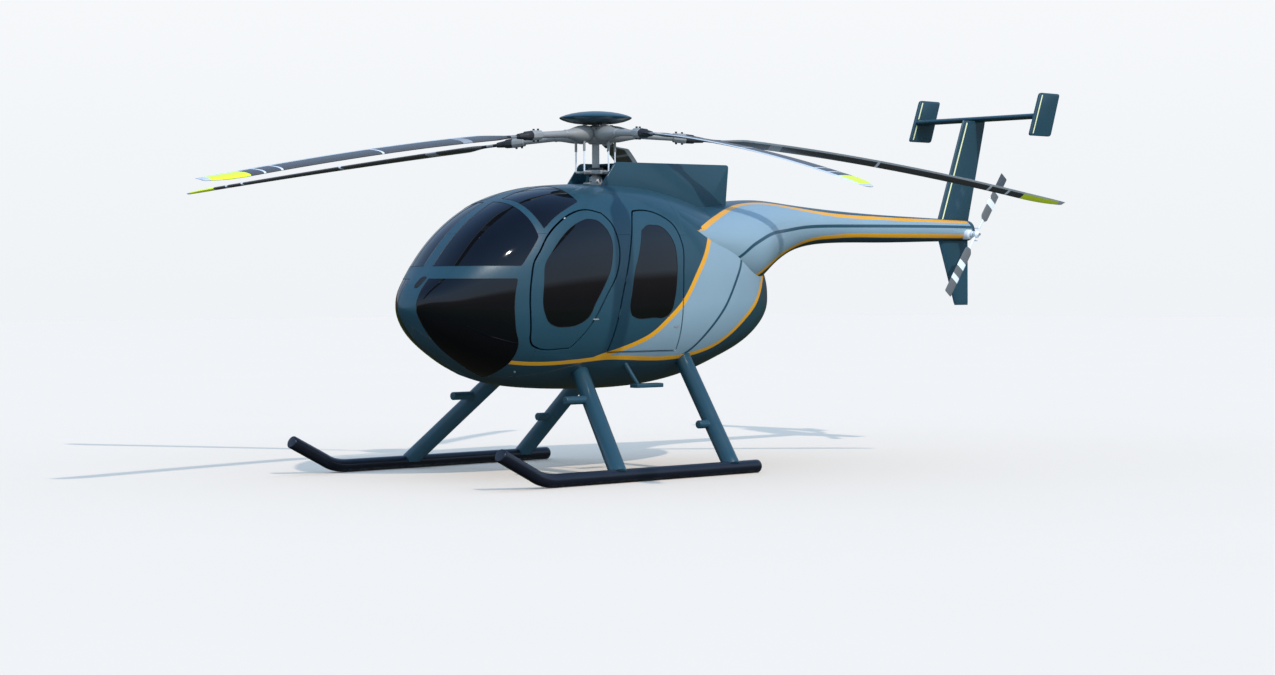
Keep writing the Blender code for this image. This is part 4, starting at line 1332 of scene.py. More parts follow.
# Fins from the lower end to the upper: stations of leading and trailing edge, height
UPPER_FIN = ((4.369, 4.832, 2.06), (4.766, 5.104, 3.048))
LOWER_FIN = ((4.639, 4.837, 1.307), (4.373, 4.835, 1.98))
STABILIZER_HALF_SPAN = 0.714
STABILIZER_Z = 3.069
PLATE = [(4.842, 2.879), (5.003, 3.283), (5.310, 3.283), (5.165, 2.879)]


def fin(name, low, high, thickness, node):
    """A fin of aerofoil sections between two levels."""
    fraction = (1 - np.cos(np.linspace(0, pi, 25))) / 2
    aerofoil = thickness * 0.5 * (2.969 * np.sqrt(fraction) - 1.260 * fraction
                                  - 3.516 * fraction ** 2 + 2.843 * fraction ** 3
                                  - 0.98 * fraction ** 4) + 0.0012 * fraction
    rings = []
    for share in np.linspace(0, 1, 26):
        lead, trail, z = Vector(low).lerp(Vector(high), share)
        half = np.maximum(aerofoil - (0.004 if share in (0, 1) else 0.0), 0.0002)
        station = lead + fraction * (trail - lead)
        ring = [(x, BODY_Y + y, z) for x, y in zip(half, station)]
        ring += [(-x, BODY_Y + y, z) for x, y in list(zip(half, station))[::-1][:-1]]
        rings.append(ring)
    finish = paint if node == "lower_fin" else fin_paint(name + "_finish", low, high)
    dress(loft(name, rings, finish), "airframe", "blue_paint", node)


def fin_paint(name, low, high):
    """The blue paint with a thin pale strip behind the leading edge."""
    finish = Finish(name, IOR=1.5, Coat_Roughness=0.05, Coat_Weight=0.6)
    z = finish.axis(2)
    slope = (high[0] - low[0]) / (high[2] - low[2])
    behind = finish.axis(1) - (BODY_Y + low[0] - slope * low[2]) - z * slope
    strip = abs(behind - 0.052).ramp(0.0085, 0.0070) * z.ramp(low[2] + 0.02, low[2] + 0.022) \
        * z.ramp(high[2] - 0.02, high[2] - 0.022)
    if name.startswith("end_plate"):
        strip = strip * finish.axis(0).ramp(-0.1, 0.1).most(
            abs(z - STABILIZER_Z).ramp(0.030, 0.032))
    clouds = finish.noise(2.4, 4.0, 0.6)
    colour = finish.mix(clouds, tint(BLUE, 0.84), tint(BLUE, 1.12))
    colour = finish.mix(strip, colour, STRIP)
    return finish.feed(Base_Color=colour, Roughness=0.28 + 0.12 * finish.noise(30.0),
                       Normal=finish.bump(clouds, 0.08, 0.004)).material


def tail_surfaces():
    """Fins, stabilizer bar and its end plates."""
    fin("upper_fin_skin", *UPPER_FIN, 0.042, "upper_fin")
    fin("lower_fin_skin", *LOWER_FIN, 0.036, "lower_fin")
    turns = circle(40)
    station = 5.07 - 0.14 * np.cos(turns)
    lift = 0.024 * np.sin(turns) * (1 + 0.35 * np.cos(turns))
    span = STABILIZER_HALF_SPAN
    bar = loft("bar", [[(x, BODY_Y + s, STABILIZER_Z + z) for s, z in zip(station, lift)]
                       for x in (-span, span)], paint)
    plate_finish = fin_paint("end_plate_finish", (4.831, 0, 2.879), (4.993, 0, 3.283))
    plates = [slab("plate", PLATE, side * (span - 0.012), side * (span + 0.012), 0.006, 0.032,
                   plate_finish) for side in (1, -1)]
    dress(joined("stabilizer_skin", [bar] + plates), "airframe", "blue_paint", "stabilizer")


def tail_rotor_finish():
    """Grey and white bands along the blades, white at the root."""
    finish = Finish("tail_blade_finish", IOR=1.5, Coat_Weight=0.3, Coat_Roughness=0.1)
    radius = finish.attribute("radius") / TAIL_ROTOR_RADIUS
    grey = 0.0
    for start, end in ((0.24, 0.47), (0.57, 0.70), (0.78, 1.2)):
        grey = radius.ramp(start - 0.002, start + 0.002) * radius.ramp(end + 0.002, end - 0.002) \
            + grey
    wear = finish.noise(60.0, 5.0, 0.7)
    colour = finish.mix(grey, finish.mix(wear, (0.82, 0.83, 0.84), (0.66, 0.67, 0.68)),
                        finish.mix(wear, (0.150, 0.150, 0.152), (0.105, 0.105, 0.108)))
    return finish.feed(Base_Color=colour, Roughness=0.34 + 0.2 * wear,
                       Normal=finish.bump(wear, 0.06, 0.0006)).material


# Tail rotor: sections of a blade (radius, half chord, half thickness), then profiles of the
# gearbox and the hub (radius, distance along the shaft)
TAIL_BLADE = [
    (0.02, 0.014, 0.008), (0.05, 0.012, 0.006), (0.14, 0.012, 0.006), (0.165, 0.020, 0.007),
    (0.19, 0.045, 0.008), (0.21, 0.052, 0.008), (0.45, 0.052, 0.006), (0.69, 0.052, 0.005),
    (0.697, 0.049, 0.003), (0.70, 0.046, 0.001),
]
GEARBOX = [(0.030, 0.045), (0.046, 0.055), (0.046, 0.120), (0.042, 0.132), (0.030, 0.140),
           (0.030, 0.165), (0.022, 0.168)]
TAIL_HUB = [(0.016, -0.024), (0.030, -0.020), (0.034, -0.012), (0.034, 0.012), (0.026, 0.020),
            (0.018, 0.026), (0.012, 0.036)]
PORT = Vector((1, 0, 0))


def tail_rotor():
    """Gearbox on the boom's port side, shaft, hub, pitch links and arms, and two banded blades."""
    x, y, z = centre = TAIL_ROTOR
    case = turned("case", GEARBOX, (0, y, z), PORT, 40, white_metal)
    bolts = [turned("bolt", rounded_profile(0.0045, 0.118, 0.128, 0.001),
                    (0, y + 0.037 * cos(a), z + 0.037 * sin(a)), PORT, 6, metal)
             for a in circle(8)]
    dress(joined("tail_gearbox_case", [case] + bolts), "airframe", "satin_metal", "tail_gearbox")
    pieces = [turned("shaft", [(0.012, 0.170 - x), (0.012, 0.045)], centre, PORT, 20, metal),
              turned("hub", TAIL_HUB, centre, PORT, 32, white_metal)]
    finish = tail_rotor_finish()
    for turn in (TAIL_BLADE_TILT, TAIL_BLADE_TILT + pi):
        out = Vector((0, cos(turn), sin(turn)))
        edge = Vector((0, -sin(turn), cos(turn)))
        rings = [[centre + out * radius + edge * (cos(a) * chord)
                  + PORT * (sin(a) * (1 + 0.35 * cos(a)) * 0.8 * thick) for a in circle(28)]
                 for radius, chord, thick in TAIL_BLADE]
        blade = loft("blade", rings, finish)
        points = mesh_points(blade.data)
        add_attribute(blade.data, "radius", (points - np.array(centre)) @ np.array(out))
        root = centre + out * 0.05
        link = root + edge * 0.030
        pieces += [blade, rod("pitch_link", link - PORT * 0.02, link + PORT * 0.026, 0.006, 0.002,
                              14, white_metal),
                   rod("pitch_arm", root + edge * 0.034, root - edge * 0.008, 0.005, 0.001, 12,
                       white_metal)]
    dress(joined("tail_rotor_assembly", pieces), "tail_rotor", "satin_metal", "tail_rotor")


# Main blades, the forward one first: fall of the tip, power of its curve, then the pitch in
# degrees at the root and at the tip
BLADES = [
    (0.50, 1.45, -14.0, -11.0), (0.575, 1.7, -5.0, -4.0), (0.575, 1.7, -14.0, -11.0),
    (0.52, 1.7, -4.0, -4.0), (0.42, 1.2, 8.0, -3.0),
]


def blade_axes(index):
    """Outward and leading directions of a main blade."""
    angle = REST_AZIMUTH + 2 * pi * index / len(BLADES)
    out = Vector((sin(angle), -cos(angle), 0))
    return out, Vector((0, 0, 1)).cross(out)


def drop(index, radius):
    """How far a main blade hangs below the hub at a radius."""
    fall, power = BLADES[index][:2]
    return fall * (radius / ROTOR_RADIUS) ** power


def blade_finish():
    """Grey blade with white lines across it, a black root and a bright yellow tip."""
    finish = Finish("main_blade_finish", IOR=1.5, Coat_Weight=0.35, Coat_Roughness=0.12)
    radius = finish.attribute("radius")
    across = finish.attribute("across")
    streak = finish.noise(1.0, 4.0, 0.6, finish.node("ShaderNodeCombineXYZ", {}, {
        0: radius * 2.0, 1: across * 26.0}))
    wear = finish.noise(40.0, 5.0, 0.7)
    grey = finish.mix(streak, (0.088, 0.084, 0.086), (0.058, 0.056, 0.058))
    colour = grey
    for place, half, share in ((1.50, 0.050, 0.35), (2.38, 0.011, 1.0), (3.36, 0.010, 1.0),
                               (3.52, 0.010, 1.0)):
        line = abs(radius - place).ramp(half + 0.001, half - 0.001) * share
        colour = finish.mix(line, colour, (0.66, 0.67, 0.72))
    colour = finish.mix(radius.ramp(3.649, 3.651), colour,
                        finish.mix(wear, (0.82, 0.93, 0.005), (0.72, 0.84, 0.005)))
    # Pale band over the rear of the chord: a painted highlight, standing for the sky-lit rounding
    # of the near edge
    edge = across.ramp(0.80, 0.82)
    colour = finish.mix(edge * (1 - 0.35 * wear), colour, (0.66, 0.68, 0.72))
    colour = finish.mix(radius.ramp(3.948, 3.952), colour, (0.50, 0.52, 0.56))
    root = radius.ramp(1.04, 1.036)
    colour = finish.mix(root, colour, (0.018, 0.018, 0.020))
    colour = finish.mix(radius.ramp(0.93, 0.934) * radius.ramp(0.995, 0.991), colour,
                        (0.20, 0.20, 0.21))
    return finish.feed(Base_Color=colour, Roughness=0.30 + 0.18 * wear + 0.08 * streak,
                       Normal=finish.bump(streak, 0.05, 0.001)).material


def blade_lay(material):
    """Geometry nodes of a main blade: an aerofoil laid along a drooping line of its own."""
    tree, (root, tip, chord, fall, power, pitch, tip_pitch), identifiers = geometry_tree(
        "blade_lay", Root=0.8, Tip=4.0, Chord=0.17, Drop=0.5, Drop_power=1.7, Pitch=0.0,
        Tip_pitch=0.0)
    start = Wire(tree)
    grid = start.node("GeometryNodeMeshGrid", {}, {
        "Size X": 1.0, "Size Y": 1.0, "Vertices X": 210, "Vertices Y": 45})
    position = start.node("GeometryNodeInputPosition")
    along = start.node("ShaderNodeSeparateXYZ", {}, {0: position}, 0) + 0.5
    turn = (start.node("ShaderNodeSeparateXYZ", {}, {0: position}, 1) + 0.5) * (2 * pi)
    radius = root + (tip - root) * along
    fraction = (1 - turn.maths("COSINE", turn)) * 0.5
    side = turn.maths("SIGN", turn.maths("SINE", turn))
    thickness = (fraction ** 0.5) * 0.2969 - fraction * 0.1260 - (fraction ** 2) * 0.3516 \
        + (fraction ** 3) * 0.2843 - (fraction ** 4) * 0.1015
    # Widening from the cuff to the full chord, then the tapered tip
    spread = radius.node("ShaderNodeMapRange", {"interpolation_type": "SMOOTHSTEP"}, {
        0: radius, 1: 1.0, 2: 1.26, 3: 0.34, 4: 1.0})
    end = radius.ramp(3.62, 4.0)
    narrowing = 1 - 0.52 * end ** 3
    own_chord = chord * spread * narrowing
    sweep = 0.075 * end ** 2.4
    closing = along.ramp(1.0, 0.997) * along.ramp(0.0, 0.004)
    lift = thickness * side * own_chord * (0.66 + 0.9 * (1 - spread) * 2) * closing
    back = own_chord * (fraction - 0.30) + sweep
    lean = (pitch + (tip_pitch - pitch) * along) * (pi / 180.0)
    height = fall * (radius / ROTOR_RADIUS) ** power
    x = 0 - back * lean.maths("COSINE", lean) - lift * lean.maths("SINE", lean)
    z = lift * lean.maths("COSINE", lean) - back * lean.maths("SINE", lean) - height
    place = start.node("ShaderNodeCombineXYZ", {}, {0: x, 1: 0 - radius, 2: z})
    marked = grid
    for name, value in (("radius", radius), ("across", fraction)):
        marked = start.node("GeometryNodeStoreNamedAttribute",
                            {"data_type": "FLOAT", "domain": "POINT"},
                            {"Geometry": marked, "Name": name, "Value": value})
    placed = start.node("GeometryNodeSetPosition", {}, {"Geometry": marked, "Position": place})
    closed = start.node("GeometryNodeMergeByDistance", {}, {"Geometry": placed,
                                                            "Distance": 0.00002})
    smooth = start.node("GeometryNodeSetShadeSmooth", {}, {"Geometry": closed})
    end_tree(smooth, material)
    return tree, identifiers


def from_nodes(name, tree, settings, mesh=None):
    """The plain mesh that a geometry tree makes with these inputs."""
    obj = in_scene(name, mesh or bpy.data.meshes.new(name))
    modifier = obj.modifiers.new("nodes", "NODES")
    modifier.node_group = tree
    for identifier, value in settings.items():
        modifier[identifier] = value
    return plain_mesh(obj)


def main_blades():
    """Five blades, each laid by the same nodes with its own droop and pitch."""
    tree, sockets = blade_lay(blade_finish())
    for index, (fall, power, root_pitch, tip_pitch) in enumerate(BLADES):
        name = "main_blade_%d" % (index + 1)
        blade = from_nodes(name + "_skin", tree, {
            sockets["Root"]: GRIP_RADIUS + 0.02, sockets["Tip"]: ROTOR_RADIUS,
            sockets["Chord"]: BLADE_CHORD * 1.12, sockets["Drop"]: fall,
            sockets["Drop_power"]: power, sockets["Pitch"]: root_pitch,
            sockets["Tip_pitch"]: tip_pitch})
        turn = Matrix.Rotation(REST_AZIMUTH + 2 * pi * index / len(BLADES), 4, "Z")
        blade.data.transform(Matrix.Translation((0, BODY_Y + MAST_STATION, HUB_Z)) @ turn)
        bm = bmesh.new()
        bm.from_mesh(blade.data)
        bmesh.ops.recalc_face_normals(bm, faces=bm.faces)
        bm.to_mesh(blade.data)
        bm.free()
        dress(blade, "main_rotor", "blade_grey", name)


# Mast and hub: name, profile of radius and height, sides, finish
MAST_PARTS = [
    ("mast", [(0.030, 2.338), (0.030, 2.66)], 40, metal),
    ("mast_collar", rounded_profile(0.040, 2.350, 2.395, 0.004), 40, metal),
    ("swash", rounded_profile(0.098, 2.405, 2.437, 0.005), 48, metal),
    ("swash_cap", rounded_profile(0.062, 2.43, 2.458, 0.006), 40, dark_metal),
    ("hub", [(0.050, HUB_Z - 0.085), (0.075, HUB_Z - 0.066), (0.100, HUB_Z - 0.05),
             (0.106, HUB_Z - 0.03), (0.106, HUB_Z + 0.03), (0.100, HUB_Z + 0.048),
             (0.075, HUB_Z + 0.060), (0.045, HUB_Z + 0.066)], 40, metal),
    ("stem", [(0.030, HUB_Z + 0.05), (0.030, 2.812)], 28, metal),
]
# What carries a blade: sections of radius, half width and half height, then finish and sides
ARM_PARTS = [
    ([(0.050, 0.052, 0.050), (0.075, 0.064, 0.060), (0.105, 0.072, 0.067),
      (0.150, 0.076, 0.069), (0.195, 0.073, 0.065), (0.235, 0.064, 0.056),
      (0.275, 0.052, 0.046), (0.315, 0.042, 0.037), (0.350, 0.036, 0.032)], metal, 32),
    ([(0.350, 0.037, 0.033), (0.358, 0.039, 0.035), (0.366, 0.037, 0.033),
      (0.370, 0.031, 0.029), (0.660, 0.028, 0.026)], metal, 28),
    ([(0.640, 0.030, 0.028), (0.648, 0.042, 0.040), (0.745, 0.046, 0.044),
      (0.753, 0.040, 0.038)], metal, 8),
    ([(0.750, 0.036, 0.034), (0.756, 0.043, 0.041), (0.815, 0.042, 0.038),
      (0.826, 0.034, 0.030), (0.90, 0.028, 0.022)], dark_metal, 8),
]
ROTOR_CAP = [
    (0.030, 2.808), (0.10, 2.812), (0.18, 2.821), (0.235, 2.833), (0.272, 2.846),
    (0.288, 2.854), (0.2945, 2.860), (0.296, 2.864), (0.293, 2.868), (0.280, 2.875),
    (0.25, 2.886), (0.20, 2.899), (0.14, 2.909), (0.08, 2.915), (0.03, 2.917), (0.0, 2.9172),
]


def rotor_head():
    """Mast, hub, lens-shaped arm roots, tubes, grips, control rods and swash plate."""
    y = BODY_Y + MAST_STATION
    foot = (0, y, 0)
    pieces = [turned(name, profile, foot, sides=sides, material=finish)
              for name, profile, sides, finish in MAST_PARTS]
    for index in range(len(BLADES)):
        out, lead = blade_axes(index)

        def along(radius, side=0.0, rise=0.0):
            """A place on the arm, from its middle line."""
            return Vector((0, y, HUB_Z - drop(index, radius) + rise)) + out * radius \
                + lead * side

        for sections, finish, sides in ARM_PARTS:
            turns = circle(sides) + pi / sides
            arm = loft("arm", [[along(radius, wide * cos(a), tall * sin(a)) for a in turns]
                               for radius, wide, tall in sections], finish, 32)
            pieces.append(bevelled(arm, 0.003, 2, 30) if sides == 8 else arm)
        for radius in (0.672, 0.722):
            pieces.append(rod("bolt", along(radius, 0, -0.052), along(radius, 0, 0.052), 0.009,
                              0.002, 6, dark_metal))
        pieces.append(rod("hinge_pin", along(0.13, 0, -0.074), along(0.13, 0, 0.074), 0.016,
                          0.003, 16, metal))
        horn = along(0.165, 0.028, -0.045)
        middle, foot_of_rod = Vector((0, y, 2.421)), Vector((horn.x, horn.y, 2.421))
        pieces += [
            rod("rod", Vector((horn.x, horn.y, 2.424)), horn, 0.0065, 0.001, 14, white_metal),
            rod("rod_sleeve", Vector((horn.x, horn.y, 2.590)), horn, 0.0105, 0.002, 14, metal),
            rod("swash_arm", middle.lerp(foot_of_rod, 0.4), foot_of_rod, 0.011, 0.002, 12,
                metal)]
    dress(joined("rotor_head_assembly", pieces), "main_rotor", "satin_metal", "rotor_head")
    dress(turned("rotor_cap_skin", ROTOR_CAP, foot, sides=96, material=paint), "main_rotor",
          "blue_paint", "rotor_cap")


# Struts on the port side: inner end, outer end, tip of the foot peg
STRUTS = [
    ("front_strut", (0.40, -0.62, 0.86), (1.241, -0.985, 0.060), (0.720, -1.008, 0.608)),
    ("rear_strut", (0.44, 0.49, 0.96), (1.241, 0.265, 0.060), (0.966, 0.180, 0.388)),
]
STRUT_RADIUS = 0.068


def skid_path():
    """The skid tube's centre line, bent up at the front in an even curve."""
    rear, knee, corner, rising, front = np.array([
        (0.562, 0.0), (-1.640, 0.0), (-1.775, 0.0), (-1.870, 0.057), (-2.193, 0.215)])
    flat = np.concatenate([
        np.linspace(rear, knee, 60),
        [bend(knee, corner, rising, share) for share in np.linspace(0, 1, 24)[1:]],
        np.linspace(rising, front, 12)[1:]])
    return np.stack([np.full(len(flat), SKID_X), BODY_Y + flat[:, 0],
                     SKID_CENTRE_Z + flat[:, 1]], axis=-1)


def landing_gear():
    """Skid tubes with wear shoes, and struts with their foot pegs."""
    path, lip = skid_path(), 0.010
    turns = np.linspace(0, pi / 2, 6)[1:]
    closing = SKID_RADIUS - lip * (1 - np.cos(turns))
    tail, front = [path[end] + unit(path[end] - path[inner])
                   * (lip * np.sin(turns) - lip)[:, None] for end, inner in ((0, 1), (-1, -2))]
    tube = swept("skid", np.concatenate([tail[::-1], path[1:-1], front]),
                 np.concatenate([closing[::-1], np.full(len(path) - 2, SKID_RADIUS), closing]),
                 40, skid_paint)
    worn = SKID_RADIUS - 0.001
    shoes = [swept("shoe", [(SKID_X, BODY_Y + s, SKID_CENTRE_Z - 0.0008)
                            for s in np.linspace(start, end, 6)],
                   [worn] + [SKID_RADIUS] * 4 + [worn], 40, skid_paint)
             for start, end in ((0.50, 0.30), (-0.90, -1.15))]
    tube = joined("skid_tube_skin_left", [tube] + shoes)
    dress(tube, "airframe", "navy_paint", "skid_tube_left")
    dress(mirrored(tube, "skid_tube_skin_right"), "airframe", "navy_paint", "skid_tube_right")
    for name, inner, outer, peg_tip in STRUTS:
        start, end = [Vector((x, BODY_Y + station, z)) for x, station, z in (inner, outer)]
        points = [start.lerp(end, share) for share in np.linspace(0, 1, 24)]
        strut = swept(name, points, [STRUT_RADIUS] * 24, 40, paint)
        share = (start.z - peg_tip[2]) / (start.z - end.z)
        root = start.lerp(end, share)
        tip = Vector((root.x, BODY_Y + peg_tip[1], peg_tip[2]))
        combine(strut, rod("peg", root, tip, 0.033, 0.008, 28, paint), "UNION")
        combine(strut, hull_solid(CUT_IN), "DIFFERENCE")
        combine(strut, prism("ground", [(-2, -1), (2, -1), (2, SKID_CENTRE_Z),
                                        (-2, SKID_CENTRE_Z)], 0.2, 2.0), "DIFFERENCE")
        strut = bevelled(strut, 0.0035, 2, 50)
        strut.name = name + "_skin_left"
        dress(strut, "airframe", "blue_paint", name + "_left")
        dress(mirrored(strut, name + "_skin_right"), "airframe", "blue_paint", name + "_right")


def cabin_steps():
    """Flat treads under the rear doors, each on a bent bracket."""
    tread = slab("tread", [(-0.205, 0.682), (0.090, 0.682), (0.090, 0.715), (-0.205, 0.715)],
                 0.565, 0.655, 0.006, 0.008, paint)
    tree, sockets = row_nodes(trim)
    ribs = from_nodes("ribs", tree, {
        sockets["Count"]: 13, sockets["Start"]: (0.610, BODY_Y - 0.189, 0.7155),
        sockets["Step"]: (0.0, 0.022, 0.0), sockets["Size"]: (0.070, 0.006, 0.0022)})
    bracket = swept("bracket", [(0.50, BODY_Y - 0.235, 0.93), (0.55, BODY_Y - 0.19, 0.815),
                                (0.60, BODY_Y - 0.150, 0.708), (0.61, BODY_Y - 0.12, 0.702)],
                    [0.017, 0.017, 0.016, 0.012], 20, paint)
    combine(bracket, hull_solid(CUT_IN), "DIFFERENCE")
    step = joined("cabin_step_left_assembly", [tread, bracket, ribs])
    dress(step, "airframe", "blue_paint", "cabin_step_left")
    dress(mirrored(step, "cabin_step_right_assembly"), "airframe", "blue_paint",
          "cabin_step_right")


SIDES = ((1, "left"), (-1, "right"))
# Ends of each door's hinge line, then where its lever sits: x, station, height
HINGES = {
    "front_door": ((0.6005, -1.280, 1.27), (0.598, -1.280, 1.47)),
    "rear_door": ((0.706, -0.4473, 1.28), (0.7034, -0.369, 1.55)),
}
LEVERS = {"front_door": (-0.70, 1.235), "rear_door": (0.215, 1.17)}
NOSE_INLET = -1.94


def skin_details():
    """Beads and flush screws round the panes, hinge barrels, door levers and the nose inlet."""
    for side, word in SIDES:
        turned_over = (side, 1, 1)
        for pane in [name for name in LOOPS if name not in DOORS]:
            body = pane.replace("window", word) if "door" in pane else "airframe"
            path, facing = track(pane, 0.012, rise=-0.0006)
            bead = hoop("bead", path * turned_over, facing * turned_over, 0.0022, 6, rubber)
            dress(joined("%s_bead_%s" % (pane, word), [bead]), body, "satin_metal")
            places, facing = track(pane, 0.105, 0.016, 0.0002)
            screws("%s_screws_%s" % (pane, word), body, places * turned_over,
                   facing * turned_over)
        for door, ends in HINGES.items():
            low, high = [Vector((side * x, BODY_Y + s, z)) for x, s, z in ends]
            half = (high - low).normalized() * 0.029
            barrels = [rod("barrel", end - half, end + half, 0.0098, 0.002, 20, paint)
                       for end in (low, high)]
            pin = rod("pin", low - half * 1.12, low + half * 1.12, 0.0045, 0.001, 12, metal)
            dress(joined("%s_hinge_%s" % (door, word), barrels + [pin]), door + "_" + word,
                  "satin_metal")
        for door, (station, z) in LEVERS.items():
            widest, _, down = hull.section(station)[1:]
            around = -np.arcsin((abs(z - widest) / down) ** (LOWER_POWER / 2))
            lever = skin_patch("%s_handle_%s" % (door, word), station, around, 0.030, 0.0055,
                               0.005, metal, side)
            dress(lever, door + "_" + word, "satin_metal")
    # The nose inlet is a dark rubber patch on the skin, not an opening: painted shade standing for
    # its hole
    width = hull.section(NOSE_INLET)[0]
    around = np.arccos((0.05 / width) ** (UPPER_POWER / 2))
    dress(skin_patch("nose_inlet", NOSE_INLET, around, 0.060, 0.032, 0.003, rubber), "airframe",
          "grey_trim")


def skin_patch(name, station, around, half_along, half_up, rise, material, side=1):
    """A rounded plate that follows the skin at a station and a turn round its section."""
    turn = hull.turn_of(np.array(station))
    centre, _ = hull.surface(turn, around)
    step = 1e-3
    way_turn = (hull.surface(turn + step, around)[0] - centre) / step
    way_round = (hull.surface(turn, around + step)[0] - centre) / step
    rings = []
    # Share of its size and height above the skin, from the rim to the middle
    levels = [(1.06, -0.003), (1.0, rise * 0.7), (0.94, rise), (0.80, rise), (0.76, rise * 0.9),
              (0.4, rise * 0.6), (0.02, rise * 0.6)]
    for share, height in levels:
        ring = []
        for a in circle(40):
            along = np.sign(cos(a)) * abs(cos(a)) ** 0.7 * half_along * share
            up = np.sign(sin(a)) * abs(sin(a)) ** 0.7 * half_up * share
            point, facing = hull.surface(turn + along / np.linalg.norm(way_turn),
                                         around + up / np.linalg.norm(way_round))
            ring.append((point + facing * height) * (side, 1, 1))
        rings.append(ring)
    return loft(name, rings, material)


# Pads: side outline of stations and heights, then where sewn channels run
SEAT_PAD = [(-1.008, 1.010), (-0.995, 1.108), (-0.605, 1.090), (-0.550, 1.008)]
BACK_PAD = [(-0.592, 1.112), (-0.468, 1.706), (-0.392, 1.700), (-0.505, 1.020)]
BENCH_PAD = [(-0.088, 0.982), (-0.085, 1.086), (0.235, 1.076), (0.290, 0.982)]
BENCH_BACK = [(0.250, 1.095), (0.318, 1.664), (0.393, 1.660), (0.393, 0.990)]
PAD_LIFT_LIMIT = 0.014
SEAT_X = 0.27               # middle of a front seat
BENCH_X = 0.25              # middle of each place on the bench
# Webbing and buckles: distance across, station, height
FRONT_LAP = [(0.055, -0.62, 1.02), (0.07, -0.66, 1.125), (SEAT_X, -0.69, 1.135),
             (0.47, -0.66, 1.125), (0.487, -0.62, 1.02)]
REAR_LAP = [(-0.21, 0.255, 1.04), (-0.20, 0.19, 1.108), (0.0, 0.16, 1.116),
            (0.20, 0.19, 1.108), (0.21, 0.255, 1.04)]
FRONT_BUCKLE = [(-0.730, 1.128), (-0.728, 1.146), (-0.672, 1.146), (-0.670, 1.128)]
REAR_BUCKLE = [(0.132, 1.110), (0.134, 1.127), (0.186, 1.127), (0.188, 1.110)]


def filled(pad):
    """Swell a pad as its filling does: fine even mesh, cloth under pressure, moves limited."""
    remesh = pad.modifiers.new("even", "REMESH")
    remesh.mode = "VOXEL"
    remesh.voxel_size = 0.012
    plain_mesh(pad)
    start = mesh_points(pad.data)
    cloth = pad.modifiers.new("filling", "CLOTH")
    cloth.settings.use_pressure = True
    cloth.settings.uniform_pressure_force = 4.0
    cloth.settings.quality = 4
    cloth.settings.effector_weights.gravity = 0.0
    for frame_number in range(1, 21):
        bpy.context.scene.frame_set(frame_number)
    plain_mesh(pad)
    bpy.context.scene.frame_set(1)
    moved = mesh_points(pad.data) - start
    length = np.linalg.norm(moved, axis=1)[:, None]
    moved *= np.minimum(1, PAD_LIFT_LIMIT / np.maximum(length, 1e-9))
    pad.data.vertices.foreach_set("co", (start + moved).ravel())
    pad.data.update()
    return pad


def cushion(name, outline, x_from, x_to, channels, node):
    """A filled pad with sewn channels from front to back and piping round its sides."""
    pad = filled(slab(name, outline, x_from, x_to, 0.022, 0.030, seat_cloth, 6))
    points = mesh_points(pad.data)
    normals = np.empty(points.size)
    pad.data.vertices.foreach_get("normal", normals)
    normals = normals.reshape(-1, 3)
    depth = np.zeros(len(points))
    for x in channels:
        depth = np.maximum(depth, np.exp(-((points[:, 0] - x) / 0.006) ** 2))
    points -= normals * depth[:, None] * 0.007
    pad.data.vertices.foreach_set("co", points.ravel())
    finer = pad.modifiers.new("finer", "SUBSURF")
    finer.levels = finer.render_levels = 1
    shade(plain_mesh(pad), 180)
    dress(pad, "airframe", "seat_cloth", node)
    shape = bpy.context.evaluated_depsgraph_get()
    bpy.context.view_layer.update()
    piping = []
    path = resample(rounded(outline, 0.030), 0.012)
    for x in (x_from, x_to):
        loop, facing = [], []
        for station, z in path:
            _, place, normal, _ = pad.closest_point_on_mesh(
                Vector((x, BODY_Y + station, z)), depsgraph=shape)
            loop.append(place + normal * 0.0012)
            facing.append(normal)
        piping.append(hoop("piping", loop, facing, 0.0034, 8, piping_cloth))
    return pad, dress(joined(name + "_piping", piping), "airframe", "seat_cloth")


def strap(path, side=1, width=0.023):
    """Flat webbing along points, with a folded edge to it."""
    path = np.array([(side * x, BODY_Y + station, z) for x, station, z in path])
    run = np.linspace(0, len(path) - 1, 40)
    fine = np.stack([spline(np.arange(len(path)), path[:, k])(run)[0] for k in range(3)],
                    axis=-1)
    return swept("strap", fine, [width] * 40, 12, webbing, 0.075)


def buckle(outline, x):
    """A belt's plate across its middle."""
    return slab("buckle", outline, x - 0.026, x + 0.026, 0.004, 0.006, metal)


def seats():
    """Two front seats, the rear bench and their harness."""
    for part, outline in (("pad", SEAT_PAD), ("back_pad", BACK_PAD)):
        pad, piping = cushion("front_seat_left_" + part, outline, 0.060, 0.480,
                              (0.165, 0.270, 0.375), "front_seat_left")
        other = dress(mirrored(pad, "front_seat_right_" + part), "airframe", "seat_cloth",
                      "front_seat_right")
        dress(mirrored(piping, "front_seat_right_%s_piping" % part), "airframe", "seat_cloth")
    for side, word in SIDES:
        belts = [strap(FRONT_LAP, side)]
        for x in (0.19, 0.35):
            belts.append(strap([(x, -0.43, 1.712), (x, -0.488, 1.715), (x, -0.530, 1.50),
                                (x, -0.590, 1.22), ((x + SEAT_X) / 2, -0.655, 1.135),
                                (SEAT_X, -0.70, 1.138)], side))
        belts.append(buckle(FRONT_BUCKLE, side * SEAT_X))
        dress(joined("front_seat_%s_harness" % word, belts), "airframe", "seat_cloth")
    channels = np.linspace(-0.36, 0.36, 7)
    for part, outline in (("pad", BENCH_PAD), ("back_pad", BENCH_BACK)):
        cushion("rear_bench_" + part, outline, -0.488, 0.488, channels, "rear_bench")
    belts = []
    for middle in (-BENCH_X, BENCH_X):
        belts += [strap([(middle + x, station, z) for x, station, z in REAR_LAP]),
                  buckle(REAR_BUCKLE, middle)]
    dress(joined("rear_bench_harness", belts), "airframe", "seat_cloth")


